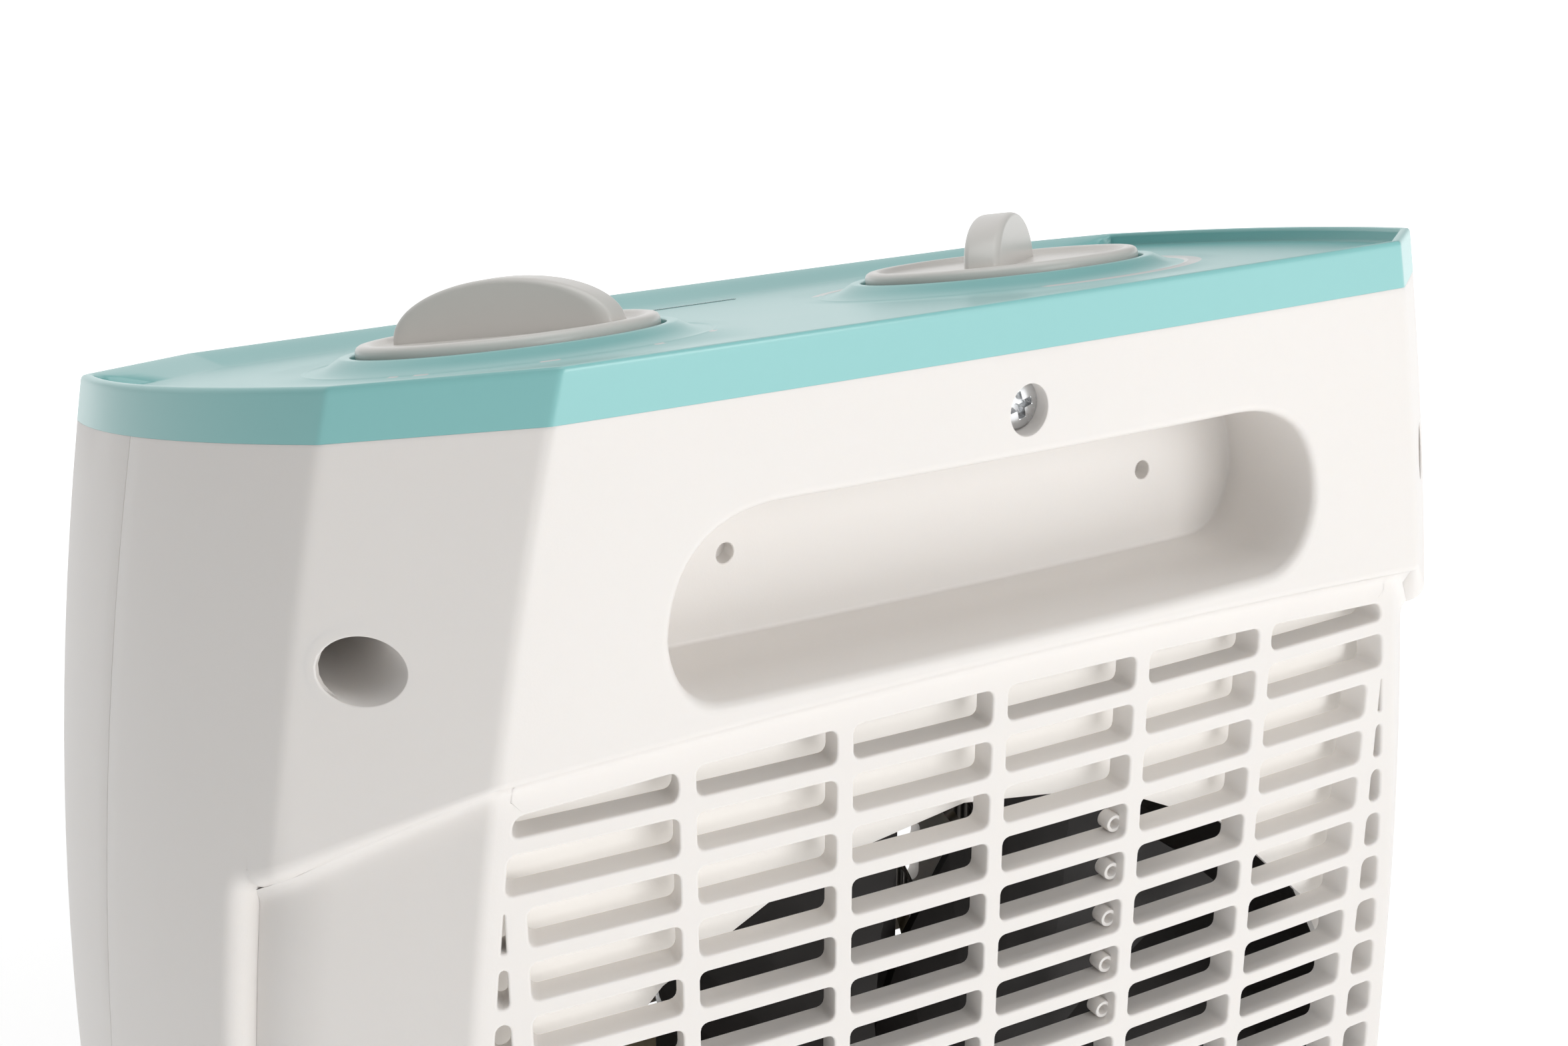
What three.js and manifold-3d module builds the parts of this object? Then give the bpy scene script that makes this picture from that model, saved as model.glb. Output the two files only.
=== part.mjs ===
// A compact upright fan heater: a barrel-sided two-part housing with a sloping teal cap, two
// control knobs, a handle recess, a slotted air intake at the back and the fan and heater inside.
// Millimetres. +Z up, +Y is the back (intake) side, the outlet faces -Y, the origin is on the floor.

import * as THREE from 'three';
import { mergeVertices } from 'three/addons/utils/BufferGeometryUtils.js';
import Module from 'manifold-3d';

const wasm = await Module();
wasm.setup();

// ---- driving dimensions ------------------------------------------------------------------

const WIDTH = 256;               // over the widest part of the bulging sides
const DEPTH = 151.6;             // over the bowed front and back faces
const REAR_HEIGHT = 291.9;       // floor to the cap's rim at the back
const CAP_SLOPE = 0.2324;        // the cap falls this much for each mm towards the front
const CAP_BAND = 7.9;            // upright height of the cap's side band
const WALL = 2.5;                // housing wall
const GAP = 0.3;                 // clearance between two pieces that meet
const BULGE_HEIGHT = 116;        // height of the widest part
const BULGE_RATE = 0.0007;       // how fast the sides draw in above and below it
const FOOT_HEIGHT = 3;           // floor to the bottom edge of the housing

// Outline seen from above, at the widest height, measured from the overall box.
const REAR_CORNER_IN = 34.3;     // back face corner, in from the side
const REAR_CORNER_DROP = 2.4;    // back face bow
const SIDE_REAR_IN = 11;         // where the rear chamfer meets the side
const SIDE_REAR_BACK = 25.3;
const SIDE_FRONT_IN = 3;         // where the front chamfer meets the side
const SIDE_FRONT_BACK = 24.3;
const SIDE_BOW = 6.5;
const FRONT_CORNER_IN = 27.3;
const FRONT_BOW = 2.8;
const PARTING_Y = -4.4;          // joint between the front and rear shells

// Cap
const CAP_FLOOR_DEPTH = 2.9;     // rim down to the sunken floor
const CAP_FLOOR_THICK = 2.4;
const CAP_RIM = 1.8;
const CAP_FRONT_BAND = 11.5;     // sloping band inside the front edge

// Knobs
const KNOB_X = 49.1;
const KNOB_Y = -4.6;
const KNOB_RADIUS = 25.4;
const KNOB_TOP = 0.9;            // disc edge above the rim plane
const KNOB_DISC = 3.1;
const KNOB_DISH = 1.1;
const KNOB_LIP = 2.2;            // raised ring round the dish
const KNOB_EDGE = 0.9;           // rounding of the disc's edges
const KNOB_GAP = 0.9;            // knob to collar, radially
const COLLAR_LAND = 2;           // flat ring on the collar's top
const COLLAR_HEIGHT = 2;
const COLLAR_FLARE = 5.5;
const FIN_LENGTH = 42;
const FIN_HEIGHT = 8.4;
const FIN_THICK = 6.7;
const SHAFT_RADIUS = 3;
const SHAFT_CLEARANCE = 0.08;
const SHAFT_FLAT = 0.7;          // cut off one side of the shaft
const SHAFT_DROP = 12;           // shaft below the top of its control
const SELECTOR_REST = -50;       // degrees, the fin's heading from the X axis
const THERMOSTAT_REST = 47;
const CONTROL_PLATE = [18, 5, 3];       // half length, half width and thickness
const THERMOSTAT_BLOCK = [14, 11, 18];  // half length, half width and height
const SELECTOR_CAN = [15, 20];          // radius and height
const BRACKET_THICK = 1.2;
const BRACKET_HALF_WIDTH = 14;
const BRACKET_END = 24;          // plate beyond each knob's axis

// Indicator lamp window
const LENS_Y = -52.6;
const LENS_HALF = 17;            // middle to the centre of each round end
const LENS_RADIUS = 0.8;
const LENS_LIP = 1;              // lens below the cap's floor

// Handle recess
const HANDLE_DROP = 24.3;        // top of the cap's back rim down to the recess
const HANDLE_OPENING = 29;
const HANDLE_HALF_WIDTH = 58;
const HANDLE_TOP_HALF = 40;
const HANDLE_BOTTOM_HALF = 49;
const HANDLE_DEPTH = 21.5;
const HANDLE_WIDEST = 0.37;      // height of the widest part, as a share of the opening's own

// Intake grille
const GRILLE_INSET = 4.3;        // grille face behind the upper housing
const GRILLE_BOTTOM = 20;
const GRILLE_INNER_Y = 62.3;
const GRILLE_SIDE_Y = 42;        // where the inset area ends on the sides
const STEP_DROP = 56.9;          // top of the cap's back rim down to the inset area, at the middle
const STEP_ARCH = 3;             // fall from the middle to the back face corner
const STEP_CHAMFER_FALL = 24;    // fall across the chamfer and round to the side
const SHOULDER_OUT = 6;          // the shoulder's end beyond the side, in plan
const ROW_PITCH = 9.02;
const ROW_OPEN = 5.8;
const ROW_DROP = 12.4;           // top of the inset area to the bottom of the first row
const ROW_MARGIN = 13;           // least height below the last row
const RIB_PITCH = [0, 28.3, 54.9];
const RIB_WIDTH = 3.2;
const COLUMN_END = 80.5;          // outer end of the main slots
const OUTER_SLOT_START = 84.1;
const OUTER_MARGIN = 1.45;
const CORNER_SHIFT = 0.42;       // sideways move of the back corner for each mm of inset
const ARCH_MARGIN = 6.6;         // top edge of the inset area to the top row

// Fan, motor and heater
const FAN_BELOW = 18;            // floor to the fan's opening
const FAN_ABOVE = 31;            // fan's opening to the top of the inset area
const FAN_FACETS = 20;
const BAFFLE_THICK = 2;
const DUCT_WALL = 2.4;
const DUCT_FRONT_Y = -42;
const IMPELLER_CLEARANCE = 9;    // blades to the duct
const HUB_RADIUS = 21;
const BLADE_COUNT = 7;
const BLADE_DEPTH = 20;
const BLADE_THICK = 1.8;
const BLADE_PITCH = [0.72, 0.42];       // radians at the root and at the tip
const BLADE_WIDTH = [22, 46];           // at the root and at the tip
const BLADE_CAMBER = 3;
const BLADE_SWEEP = 0.35;               // radians from root to tip
const IMPELLER_SETBACK = 6;      // duct's back edge to the blades
const MOUNT_SETBACK = 3;         // blades to the motor's spider
const MOUNT_THICK = 1.6;
const MOUNT_ARM = 14;
const PLATE_THICK = 2;
const PLATE_HALF = 8;            // half height of a plate's bar, and its seat's radius
const BEARING_RADIUS = 5;
const BEARING_LENGTH = 5;
const MOTOR_SHAFT_RADIUS = 2.5;
const STATOR_SIZE = 60;
const STATOR_THICK = 18;
const STATOR_LEG = 12;           // width of the core round the winding's window
const ROTOR_RADIUS = 13;
const ROTOR_GAP = 0.5;
const COIL_WRAP = 9;             // winding beyond the core
const COIL_SPOTS = [0.308, 0.528, 0.748];       // coil radii, as shares of the mica's reach
const COIL_TUBE = 3.2;
const MICA_THICK = 1.6;
const MICA_HALF_DEPTH = 10;
const RING_WALL = 1.2;
const RING_LIP = 2;              // ring beyond the mica at each end
const CUTOUT_RADIUS = 8;
const CUTOUT_HEIGHT = 6;
const HEATER_Y = -26;

// Outlet grille
const OUTLET_HALF_WIDTH = 82;
const OUTLET_BOTTOM = 30;
const OUTLET_DROP = 91.9;        // top of the cap's back rim down to the outlet
const OUTLET_ROWS = 17;
const OUTLET_BORDER = 6;
const OUTLET_BAR = 3.2;
const OUTLET_DEPTH = 7;
const OUTLET_SINK = 1;           // grille face behind the housing's

// Fasteners, feet and inlet
const HEAD_RADIUS = 3.7;
const HEAD_THICK = 2.2;
const SCREW_RADIUS = 1.9;
const CROSS_REACH = 0.55;        // cross recess, as a share of the head's radius
const CROSS_WIDTH = 0.8;
const TOP_SCREW_LENGTH = 14;
const CASE_SCREW_LENGTH = 22;
const BASE_SCREW_LENGTH = 10;
const TOP_SCREW_DROP = 9.1;      // screw axis below the joint with the cap
const TOP_BORE = 4;
const TOP_BORE_DEPTH = 5;
const TOP_BOSS_LENGTH = 7;       // from the screw's seat to the cap's lug
const LUG_HALF_WIDTH = 6;
const LUG_THICK = 8;
const LUG_CLEARANCE = 0.4;       // lug above the handle recess's wall
const CASE_BORE = 5;
const CASE_SCREW_X = 97.3;
const CASE_SCREW_DROP = 44.6;    // top of the cap's back rim down to the case screws
const CASE_SEAT_THICK = 6;
const CASE_BOSS_LENGTH = 24;
const BOSS_WALL = 2;
const WEB_THICK = 2.4;
const BASE_THICK = 2.5;
const BASE_BOSS_HEIGHT = 14;
const BASE_SCREW_X = 96;
const BASE_SCREW_Y = 38;
const FOOT_RADIUS = 9;
const FOOT_STUD = 3;
const FOOT_X = 78;
const FOOT_Y = 50;
const GLAND_RADIUS = 5;
const GLAND_BORE = 3.2;
const GLAND_LENGTH = 12;         // inside the housing
const GLAND_SEAT = 1.3;
const GLAND_FLANGE = 6.6;
const GLAND_HEIGHT = 11.5;
const TERMINAL = [-72, -42, 34, 46, 11];        // x, x, y, y and height

// ---- values that follow ------------------------------------------------------------------

const HALF_WIDTH = WIDTH / 2;
const HALF_DEPTH = DEPTH / 2;
const RIM_HEIGHT = REAR_HEIGHT - CAP_SLOPE * HALF_DEPTH;     // rim plane above the origin
const CAP_TILT = Math.atan(CAP_SLOPE);
const HANDLE_TOP = REAR_HEIGHT - HANDLE_DROP;
const HANDLE_BOTTOM = HANDLE_TOP - HANDLE_OPENING;
const CASE_SCREW_Z = REAR_HEIGHT - CASE_SCREW_DROP;
const STEP_HEIGHT = REAR_HEIGHT - STEP_DROP;
const TOP_ROW_BOTTOM = STEP_HEIGHT - ROW_DROP;
const ROW_SPACE = TOP_ROW_BOTTOM - GRILLE_BOTTOM - ROW_MARGIN;
const ROW_COUNT = Math.floor(ROW_SPACE / ROW_PITCH) + 1;
const OUTLET_TOP = REAR_HEIGHT - OUTLET_DROP;
const FAN_OPENING = (STEP_HEIGHT - FAN_ABOVE - FAN_BELOW) / 2;
const FAN_HEIGHT = FAN_BELOW + FAN_OPENING;
const IMPELLER_RADIUS = FAN_OPENING - IMPELLER_CLEARANCE;
const UPRIGHT = Math.cos(CAP_TILT);                          // upright mm to mm across the cap
const REAR_CORNER = new THREE.Vector2(HALF_WIDTH - REAR_CORNER_IN, HALF_DEPTH - REAR_CORNER_DROP);
const SIDE_REAR = new THREE.Vector2(HALF_WIDTH - SIDE_REAR_IN, HALF_DEPTH - SIDE_REAR_BACK);
const SIDE_FRONT = new THREE.Vector2(HALF_WIDTH - SIDE_FRONT_IN, SIDE_FRONT_BACK - HALF_DEPTH);
const FRONT_CORNER = new THREE.Vector2(HALF_WIDTH - FRONT_CORNER_IN, FRONT_BOW - HALF_DEPTH);
const FLOOR_LEVEL = -CAP_FLOOR_DEPTH * UPRIGHT;              // across the cap, rim plane at 0
const UNDER_LEVEL = FLOOR_LEVEL - CAP_FLOOR_THICK;
const HUB_OUTER = SHAFT_RADIUS + BOSS_WALL;                  // the knob's hub
const FAR = 400;                                             // beyond every piece

// ---- materials ---------------------------------------------------------------------------

const LOOKS = {
  housing: [0xe9e6e1, 0.45, 0],
  teal: [0x9fd2cf, 0.3, 0],
  knob: [0xc3beb8, 0.38, 0],
  zinc: [0xc9cacb, 0.28, 1],
  steel: [0x9a9c9e, 0.4, 1],
  dark: [0x2a2827, 0.6, 0],
  rubber: [0x1c1c1c, 0.85, 0],
  copper: [0xa8613a, 0.4, 1],
  nichrome: [0x7d756c, 0.45, 1],
  mica: [0xc9b990, 0.6, 0],
  bronze: [0x9c7a45, 0.45, 1],
  lens: [0xd8792a, 0.15, 0],
};

function material(look) {
  const [color, roughness, metalness] = LOOKS[look];
  return new THREE.MeshStandardMaterial({ color, roughness, metalness });
}

// ---- solids ------------------------------------------------------------------------------

function solid(geometry) {
  const bare = geometry.index ? geometry.toNonIndexed() : geometry.clone();
  bare.deleteAttribute('normal');
  bare.deleteAttribute('uv');
  const merged = mergeVertices(bare, 1e-4);
  const vertProperties = Float32Array.from(merged.attributes.position.array);
  const triVerts = Uint32Array.from(merged.index.array);
  return new wasm.Manifold(new wasm.Mesh({ numProp: 3, vertProperties, triVerts }));
}

function geometryOf(manifold) {
  const mesh = manifold.getMesh();
  const geometry = new THREE.BufferGeometry();
  geometry.setAttribute('position', new THREE.BufferAttribute(mesh.vertProperties, 3));
  geometry.setIndex(new THREE.BufferAttribute(mesh.triVerts, 1));
  geometry.computeVertexNormals();
  return geometry;
}

function box(x0, x1, y0, y1, z0, z1) {
  const geometry = new THREE.BoxGeometry(x1 - x0, y1 - y0, z1 - z0);
  return solid(geometry.translate((x0 + x1) / 2, (y0 + y1) / 2, (z0 + z1) / 2));
}

// A turned solid along +Z from [radius, height] points; off-axis profiles close on themselves.
function turned(profile, facets = 24) {
  const points = profile.map(([r, z]) => new THREE.Vector2(r, z));
  const geometry = new THREE.LatheGeometry(points, facets);
  return geometry.rotateX(Math.PI / 2);
}

function rod(radius, z0, z1, facets = 20) {
  return turned([[0, z0], [radius, z0], [radius, z1], [0, z1]], facets);
}

function tube(inner, outer, z0, z1, facets = 32) {
  return turned([[inner, z0], [outer, z0], [outer, z1], [inner, z1], [inner, z0]], facets);
}

// Turns a +Z solid to run along +Y, starting from the given point.
function alongY(geometry, x = 0, y = 0, z = 0) {
  return geometry.clone().rotateX(-Math.PI / 2).translate(x, y, z);
}

// Sets a solid made on the cap's plane (rim at z 0) in its sloping place.
function onCap(geometry, x = 0, y = 0) {
  const place = new THREE.Matrix4().makeTranslation(0, 0, RIM_HEIGHT);
  place.multiply(new THREE.Matrix4().makeRotationX(CAP_TILT));
  place.multiply(new THREE.Matrix4().makeTranslation(x, y / UPRIGHT, 0));
  return geometry.clone().applyMatrix4(place);
}

// An upright outline in X and Z, pushed from y0 to y1.
function pushed(points, y0, y1) {
  const shape = new THREE.Shape(points.map(([x, z]) => new THREE.Vector2(x, -z)));
  const geometry = new THREE.ExtrudeGeometry(shape, { depth: y1 - y0, bevelEnabled: false });
  return solid(geometry.rotateX(-Math.PI / 2).translate(0, y0, 0));
}

// ---- housing outline ---------------------------------------------------------------------

// Points of a bowed line from a to b, without b. The bow is to the right of a to b.
function bowed(a, b, sagitta, pieces) {
  const along = b.clone().sub(a);
  const out = new THREE.Vector2(along.y, -along.x).normalize();
  return Array.from({ length: pieces }, (_, i) => {
    const t = i / pieces;
    return a.clone().addScaledVector(along, t).addScaledVector(out, 4 * sagitta * t * (1 - t));
  });
}

// The whole outline, anticlockwise from above, at the widest height.
function outline() {
  const mirror = (p) => new THREE.Vector2(-p.x, p.y);
  return [
    ...bowed(FRONT_CORNER, SIDE_FRONT, 0, 1),
    ...bowed(SIDE_FRONT, SIDE_REAR, SIDE_BOW, 6),
    ...bowed(SIDE_REAR, REAR_CORNER, 0, 1),
    ...bowed(REAR_CORNER, mirror(REAR_CORNER), REAR_CORNER_DROP, 4),
    ...bowed(mirror(REAR_CORNER), mirror(SIDE_REAR), 0, 1),
    ...bowed(mirror(SIDE_REAR), mirror(SIDE_FRONT), SIDE_BOW, 6),
    ...bowed(mirror(SIDE_FRONT), mirror(FRONT_CORNER), 0, 1),
    ...bowed(mirror(FRONT_CORNER), FRONT_CORNER, FRONT_BOW, 4),
  ];
}

// Moves every side of a convex outline inwards.
function shrunk(points, inset) {
  return points.map((point, i) => {
    const before = points[(i + points.length - 1) % points.length];
    const after = points[(i + 1) % points.length];
    const a = point.clone().sub(before).normalize();
    const b = after.clone().sub(point).normalize();
    const normalA = new THREE.Vector2(-a.y, a.x);
    const normalB = new THREE.Vector2(-b.y, b.x);
    const mean = normalA.clone().add(normalB).normalize();
    return point.clone().addScaledVector(mean, inset / mean.dot(normalA));
  });
}

function drawIn(z) {
  return BULGE_RATE * (z - BULGE_HEIGHT) ** 2;
}

// The housing's barrel shape between two heights, with every side moved in by an inset.
function barrel(inset, z0 = FOOT_HEIGHT, z1 = REAR_HEIGHT, steps = 8) {
  const shape = new THREE.Shape(shrunk(outline(), inset));
  const options = { depth: z1 - z0, steps, bevelEnabled: false };
  const geometry = new THREE.ExtrudeGeometry(shape, options).translate(0, 0, z0);
  const position = geometry.attributes.position;
  for (let i = 0; i < position.count; i += 1) {
    const x = position.getX(i);
    const pull = drawIn(position.getZ(i)) * Math.min(1, Math.abs(x) / REAR_CORNER.x);
    position.setX(i, x - Math.sign(x) * pull);
  }
  return solid(geometry);
}

// Everything above a plane parallel to the cap's rim, at a level measured across the cap.
function aboveCap(level) {
  const slab = new THREE.BoxGeometry(2 * FAR, 2 * FAR, FAR);
  return solid(onCap(slab.translate(0, 0, level + FAR / 2)));
}

const BAND_LEVEL = -CAP_BAND * UPRIGHT;
const outer = barrel(0);
const inner = barrel(WALL, 0, REAR_HEIGHT + 1);
const behindParting = box(-FAR, FAR, PARTING_Y + GAP, FAR, -FAR, FAR);
const aheadOfParting = box(-FAR, FAR, -FAR, PARTING_Y, -FAR, FAR);
const belowBand = aboveCap(BAND_LEVEL - GAP);
const capHeightAt = (y) => RIM_HEIGHT + CAP_SLOPE * y - CAP_BAND;

// ---- bosses and screws -------------------------------------------------------------------

const backFaceY = HALF_DEPTH;
const topScrewZ = capHeightAt(backFaceY) - TOP_SCREW_DROP;
const topSeatY = backFaceY - TOP_BORE_DEPTH;
const lugBackY = topSeatY - TOP_BOSS_LENGTH;
const caseSeatY = PARTING_Y + GAP + CASE_SEAT_THICK;

const CASE_SCREWS = [['left', 1], ['right', -1]];
const BASE_SCREWS = [[1, 1], [-1, 1], [1, -1], [-1, -1]];

// A pan head screw along +Z, the head's seat at 0 and the shank below it.
function screw(length, facets = 12) {
  const head = [[0, -length], [SCREW_RADIUS, -length], [SCREW_RADIUS, 0], [HEAD_RADIUS, 0]];
  const dome = [[HEAD_RADIUS, HEAD_THICK * 0.5], [HEAD_RADIUS * 0.7, HEAD_THICK], [0, HEAD_THICK]];
  const body = solid(turned([...head, ...dome], facets));
  const reach = HEAD_RADIUS * CROSS_REACH;
  const half = CROSS_WIDTH / 2;
  const low = HEAD_THICK * 0.45;
  const across = box(-reach, reach, -half, half, low, HEAD_THICK + 1);
  const along = box(-half, half, -reach, reach, low, HEAD_THICK + 1);
  return geometryOf(body.subtract(across.add(along)));
}

// ---- shells ------------------------------------------------------------------------------

function handleOutline(grow = 0) {
  const shape = new THREE.Shape();
  const middle = HANDLE_BOTTOM + (HANDLE_TOP - HANDLE_BOTTOM) * HANDLE_WIDEST;
  const wide = HANDLE_HALF_WIDTH + grow;
  const low = HANDLE_BOTTOM - grow;
  const high = HANDLE_TOP + grow;
  shape.moveTo(-HANDLE_BOTTOM_HALF, low);
  shape.lineTo(HANDLE_BOTTOM_HALF, low);
  shape.quadraticCurveTo(wide - 1, low, wide, middle);
  shape.quadraticCurveTo(wide - 1, high, HANDLE_TOP_HALF, high);
  shape.lineTo(-HANDLE_TOP_HALF, high);
  shape.quadraticCurveTo(1 - wide, high, -wide, middle);
  shape.quadraticCurveTo(1 - wide, low, -HANDLE_BOTTOM_HALF, low);
  return shape.getPoints(4).slice(0, -1).map((p) => [p.x, p.y]);
}

// The arched top edge of the inset area.
function stepAt(x) {
  return STEP_HEIGHT - STEP_ARCH * (x / (REAR_CORNER.x - drawIn(STEP_HEIGHT))) ** 2;
}

// The inset area of the back, as an upright prism; grow widens it on every side.
function insetArea(grow = 0) {
  const corner = REAR_CORNER.x - drawIn(STEP_HEIGHT);
  const side = SIDE_REAR.x - drawIn(STEP_HEIGHT);
  const arch = [];
  for (let i = -4; i <= 4; i += 1) {
    const x = (corner * i) / 4;
    arch.push([x, stepAt(x) + grow]);
  }
  const shoulder = STEP_HEIGHT - STEP_ARCH - STEP_CHAMFER_FALL + grow;
  const bottom = GRILLE_BOTTOM - grow;
  const low = [[-FAR, shoulder], [-FAR, bottom], [FAR, bottom], [FAR, shoulder]];
  const end = side + SHOULDER_OUT;
  const points = [...low, [end, shoulder], ...arch.reverse(), [-end, shoulder]];
  return pushed(points, GRILLE_SIDE_Y - grow, FAR);
}

function frontShell() {
  let shell = outer.subtract(inner).intersect(aheadOfParting).subtract(belowBand);
  const cutX = OUTLET_HALF_WIDTH + GAP;
  shell = shell.subtract(box(-cutX, cutX, -FAR, 0, OUTLET_BOTTOM - GAP, OUTLET_TOP + GAP));
  const frontY = PARTING_Y - CASE_BOSS_LENGTH;
  for (const [, side] of CASE_SCREWS) {
    const x = side * CASE_SCREW_X;
    const post = rod(SCREW_RADIUS + BOSS_WALL, -CASE_BOSS_LENGTH, 0);
    const web = box(Math.min(x, x * 2), Math.max(x, x * 2), frontY, PARTING_Y,
      CASE_SCREW_Z - WEB_THICK / 2, CASE_SCREW_Z + WEB_THICK / 2).intersect(outer);
    const pilot = rod(SCREW_RADIUS + GAP, 4 - CASE_BOSS_LENGTH, 5);
    shell = shell.add(solid(alongY(post, x, PARTING_Y, CASE_SCREW_Z)).add(web));
    shell = shell.subtract(solid(alongY(pilot, x, PARTING_Y, CASE_SCREW_Z)));
  }
  return baseBosses(shell, -1);
}

// Adds the two screw bosses for the base on one side of the parting line.
function baseBosses(shell, end) {
  const floor = FOOT_HEIGHT + BASE_THICK + GAP;
  const top = floor + BASE_BOSS_HEIGHT;
  const half = WEB_THICK / 2;
  let result = shell;
  for (const side of [1, -1]) {
    const x = side * BASE_SCREW_X;
    const y = end * BASE_SCREW_Y;
    const post = solid(rod(SCREW_RADIUS + BOSS_WALL, floor, top).translate(x, y, 0));
    const web = box(Math.min(x, x * 2), Math.max(x, x * 2), y - half, y + half, floor, top);
    const pilot = solid(rod(SCREW_RADIUS + GAP, floor - 1, top - 2).translate(x, y, 0));
    result = result.add(post.add(web.intersect(outer))).subtract(pilot);
  }
  return result;
}

function rearShell() {
  let shell = outer.subtract(inner).intersect(behindParting).subtract(belowBand);
  // the ledge round the inset area, and the area itself
  const ledge = insetArea(WALL).intersect(outer.subtract(barrel(GRILLE_INSET + WALL, 0)));
  shell = shell.add(ledge.subtract(box(-FAR, FAR, -FAR, FAR, -FAR, FOOT_HEIGHT)));
  shell = shell.subtract(insetArea(GAP));
  // the handle recess
  const backY = backFaceY - HANDLE_DEPTH;
  const cup = pushed(handleOutline(WALL), backY - WALL, FAR).intersect(outer);
  shell = shell.add(cup).subtract(pushed(handleOutline(), backY, FAR));
  // the top screw's boss
  const topBoss = rod(TOP_BORE + BOSS_WALL, lugBackY + GAP, FAR / 4);
  shell = shell.add(solid(alongY(topBoss, 0, 0, topScrewZ)).intersect(outer).subtract(belowBand));
  shell = shell.subtract(solid(alongY(rod(TOP_BORE, topSeatY, FAR), 0, 0, topScrewZ)));
  shell = shell.subtract(solid(alongY(rod(SCREW_RADIUS + GAP, 0, FAR), 0, 0, topScrewZ)));
  // the long bores for the case screws
  for (const [, side] of CASE_SCREWS) {
    const x = side * CASE_SCREW_X;
    const post = rod(CASE_BORE + BOSS_WALL, PARTING_Y + GAP, FAR / 4);
    const bore = rod(CASE_BORE, caseSeatY, FAR);
    const hole = rod(SCREW_RADIUS + GAP, -FAR, FAR);
    shell = shell.add(solid(alongY(post, x, 0, CASE_SCREW_Z)).intersect(outer));
    shell = shell.subtract(solid(alongY(bore, x, 0, CASE_SCREW_Z)));
    shell = shell.subtract(solid(alongY(hole, x, 0, CASE_SCREW_Z)).intersect(behindParting));
  }
  shell = shell.subtract(solid(onChamfer(rod(GLAND_RADIUS + GAP, -FAR / 8, FAR / 8))));
  return baseBosses(shell, 1);
}

// Sets a +Z solid on the right-hand rear chamfer near the floor, pointing straight out of it.
function onChamfer(geometry) {
  const across = REAR_CORNER.clone().sub(SIDE_REAR).normalize();
  const middle = REAR_CORNER.clone().add(SIDE_REAR).multiplyScalar(0.5);
  const placed = alongY(geometry).rotateZ(Math.atan2(across.y, -across.x));
  return placed.translate(drawIn(GLAND_HEIGHT) - middle.x, middle.y, GLAND_HEIGHT);
}

// ---- cap ---------------------------------------------------------------------------------

function topCap() {
  const band = barrel(0, capHeightAt(-HALF_DEPTH) - 5, REAR_HEIGHT + 1, 3);
  let cap = band.intersect(aboveCap(BAND_LEVEL)).subtract(aboveCap(0));
  // the sunken floor, with a sloping band along the front
  const sunk = barrel(CAP_RIM, capHeightAt(-HALF_DEPTH) - 5, REAR_HEIGHT + 2, 3);
  cap = cap.subtract(sunk.intersect(aboveCap(FLOOR_LEVEL)).subtract(frontBand()));
  // hollow below
  const hollow = inner.intersect(aboveCap(BAND_LEVEL - 1)).subtract(aboveCap(UNDER_LEVEL));
  cap = cap.subtract(hollow);
  for (const side of [1, -1]) {
    const x = side * KNOB_X;
    cap = cap.add(solid(onCap(collar(), x, KNOB_Y)));
    const hole = rod(HUB_OUTER + KNOB_GAP, UNDER_LEVEL - 1, FLOOR_LEVEL + 1);
    cap = cap.subtract(solid(onCap(hole, x, KNOB_Y)));
  }
  cap = cap.subtract(solid(onCap(lensBody(GAP), 0, LENS_Y)));
  const lugFrontY = lugBackY - LUG_THICK;
  const lugTop = capHeightAt(lugFrontY) + CAP_BAND - CAP_FLOOR_DEPTH - CAP_FLOOR_THICK / 2;
  const lug = box(-LUG_HALF_WIDTH, LUG_HALF_WIDTH, lugFrontY, lugBackY,
    HANDLE_TOP + WALL + LUG_CLEARANCE, lugTop);
  const pilot = rod(SCREW_RADIUS + GAP, lugFrontY - 1, lugBackY + 1);
  return cap.add(lug).subtract(solid(alongY(pilot, 0, 0, topScrewZ)));
}

// The wedge that fills the sunken floor's front, so the floor rises to the front rim.
function frontBand() {
  const frontY = -HALF_DEPTH / UPRIGHT;
  const rise = new THREE.Shape();
  rise.moveTo(frontY - 1, FLOOR_LEVEL - 1);
  rise.lineTo(frontY + CAP_FRONT_BAND, FLOOR_LEVEL - 1);
  rise.lineTo(frontY + CAP_FRONT_BAND, FLOOR_LEVEL);
  rise.lineTo(frontY - 1, 0.25);
  const wedge = new THREE.ExtrudeGeometry(rise, { depth: WIDTH, bevelEnabled: false });
  wedge.rotateY(Math.PI / 2).rotateX(Math.PI / 2);
  wedge.translate(-HALF_WIDTH, 0, 0);
  const middle = solid(onCap(wedge));
  // the same band turned to run along each front chamfer
  const heading = Math.atan2(SIDE_FRONT.y - FRONT_CORNER.y, SIDE_FRONT.x - FRONT_CORNER.x);
  let band = middle;
  for (const side of [1, -1]) {
    const turnedWedge = wedge.clone().translate(0, HALF_DEPTH / UPRIGHT, 0);
    turnedWedge.rotateZ(side * heading);
    const corner = FRONT_CORNER.x - drawIn(capHeightAt(-HALF_DEPTH));
    turnedWedge.translate(side * corner, (FRONT_CORNER.y) / UPRIGHT, 0);
    band = band.add(solid(onCap(turnedWedge)));
  }
  return band;
}

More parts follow.
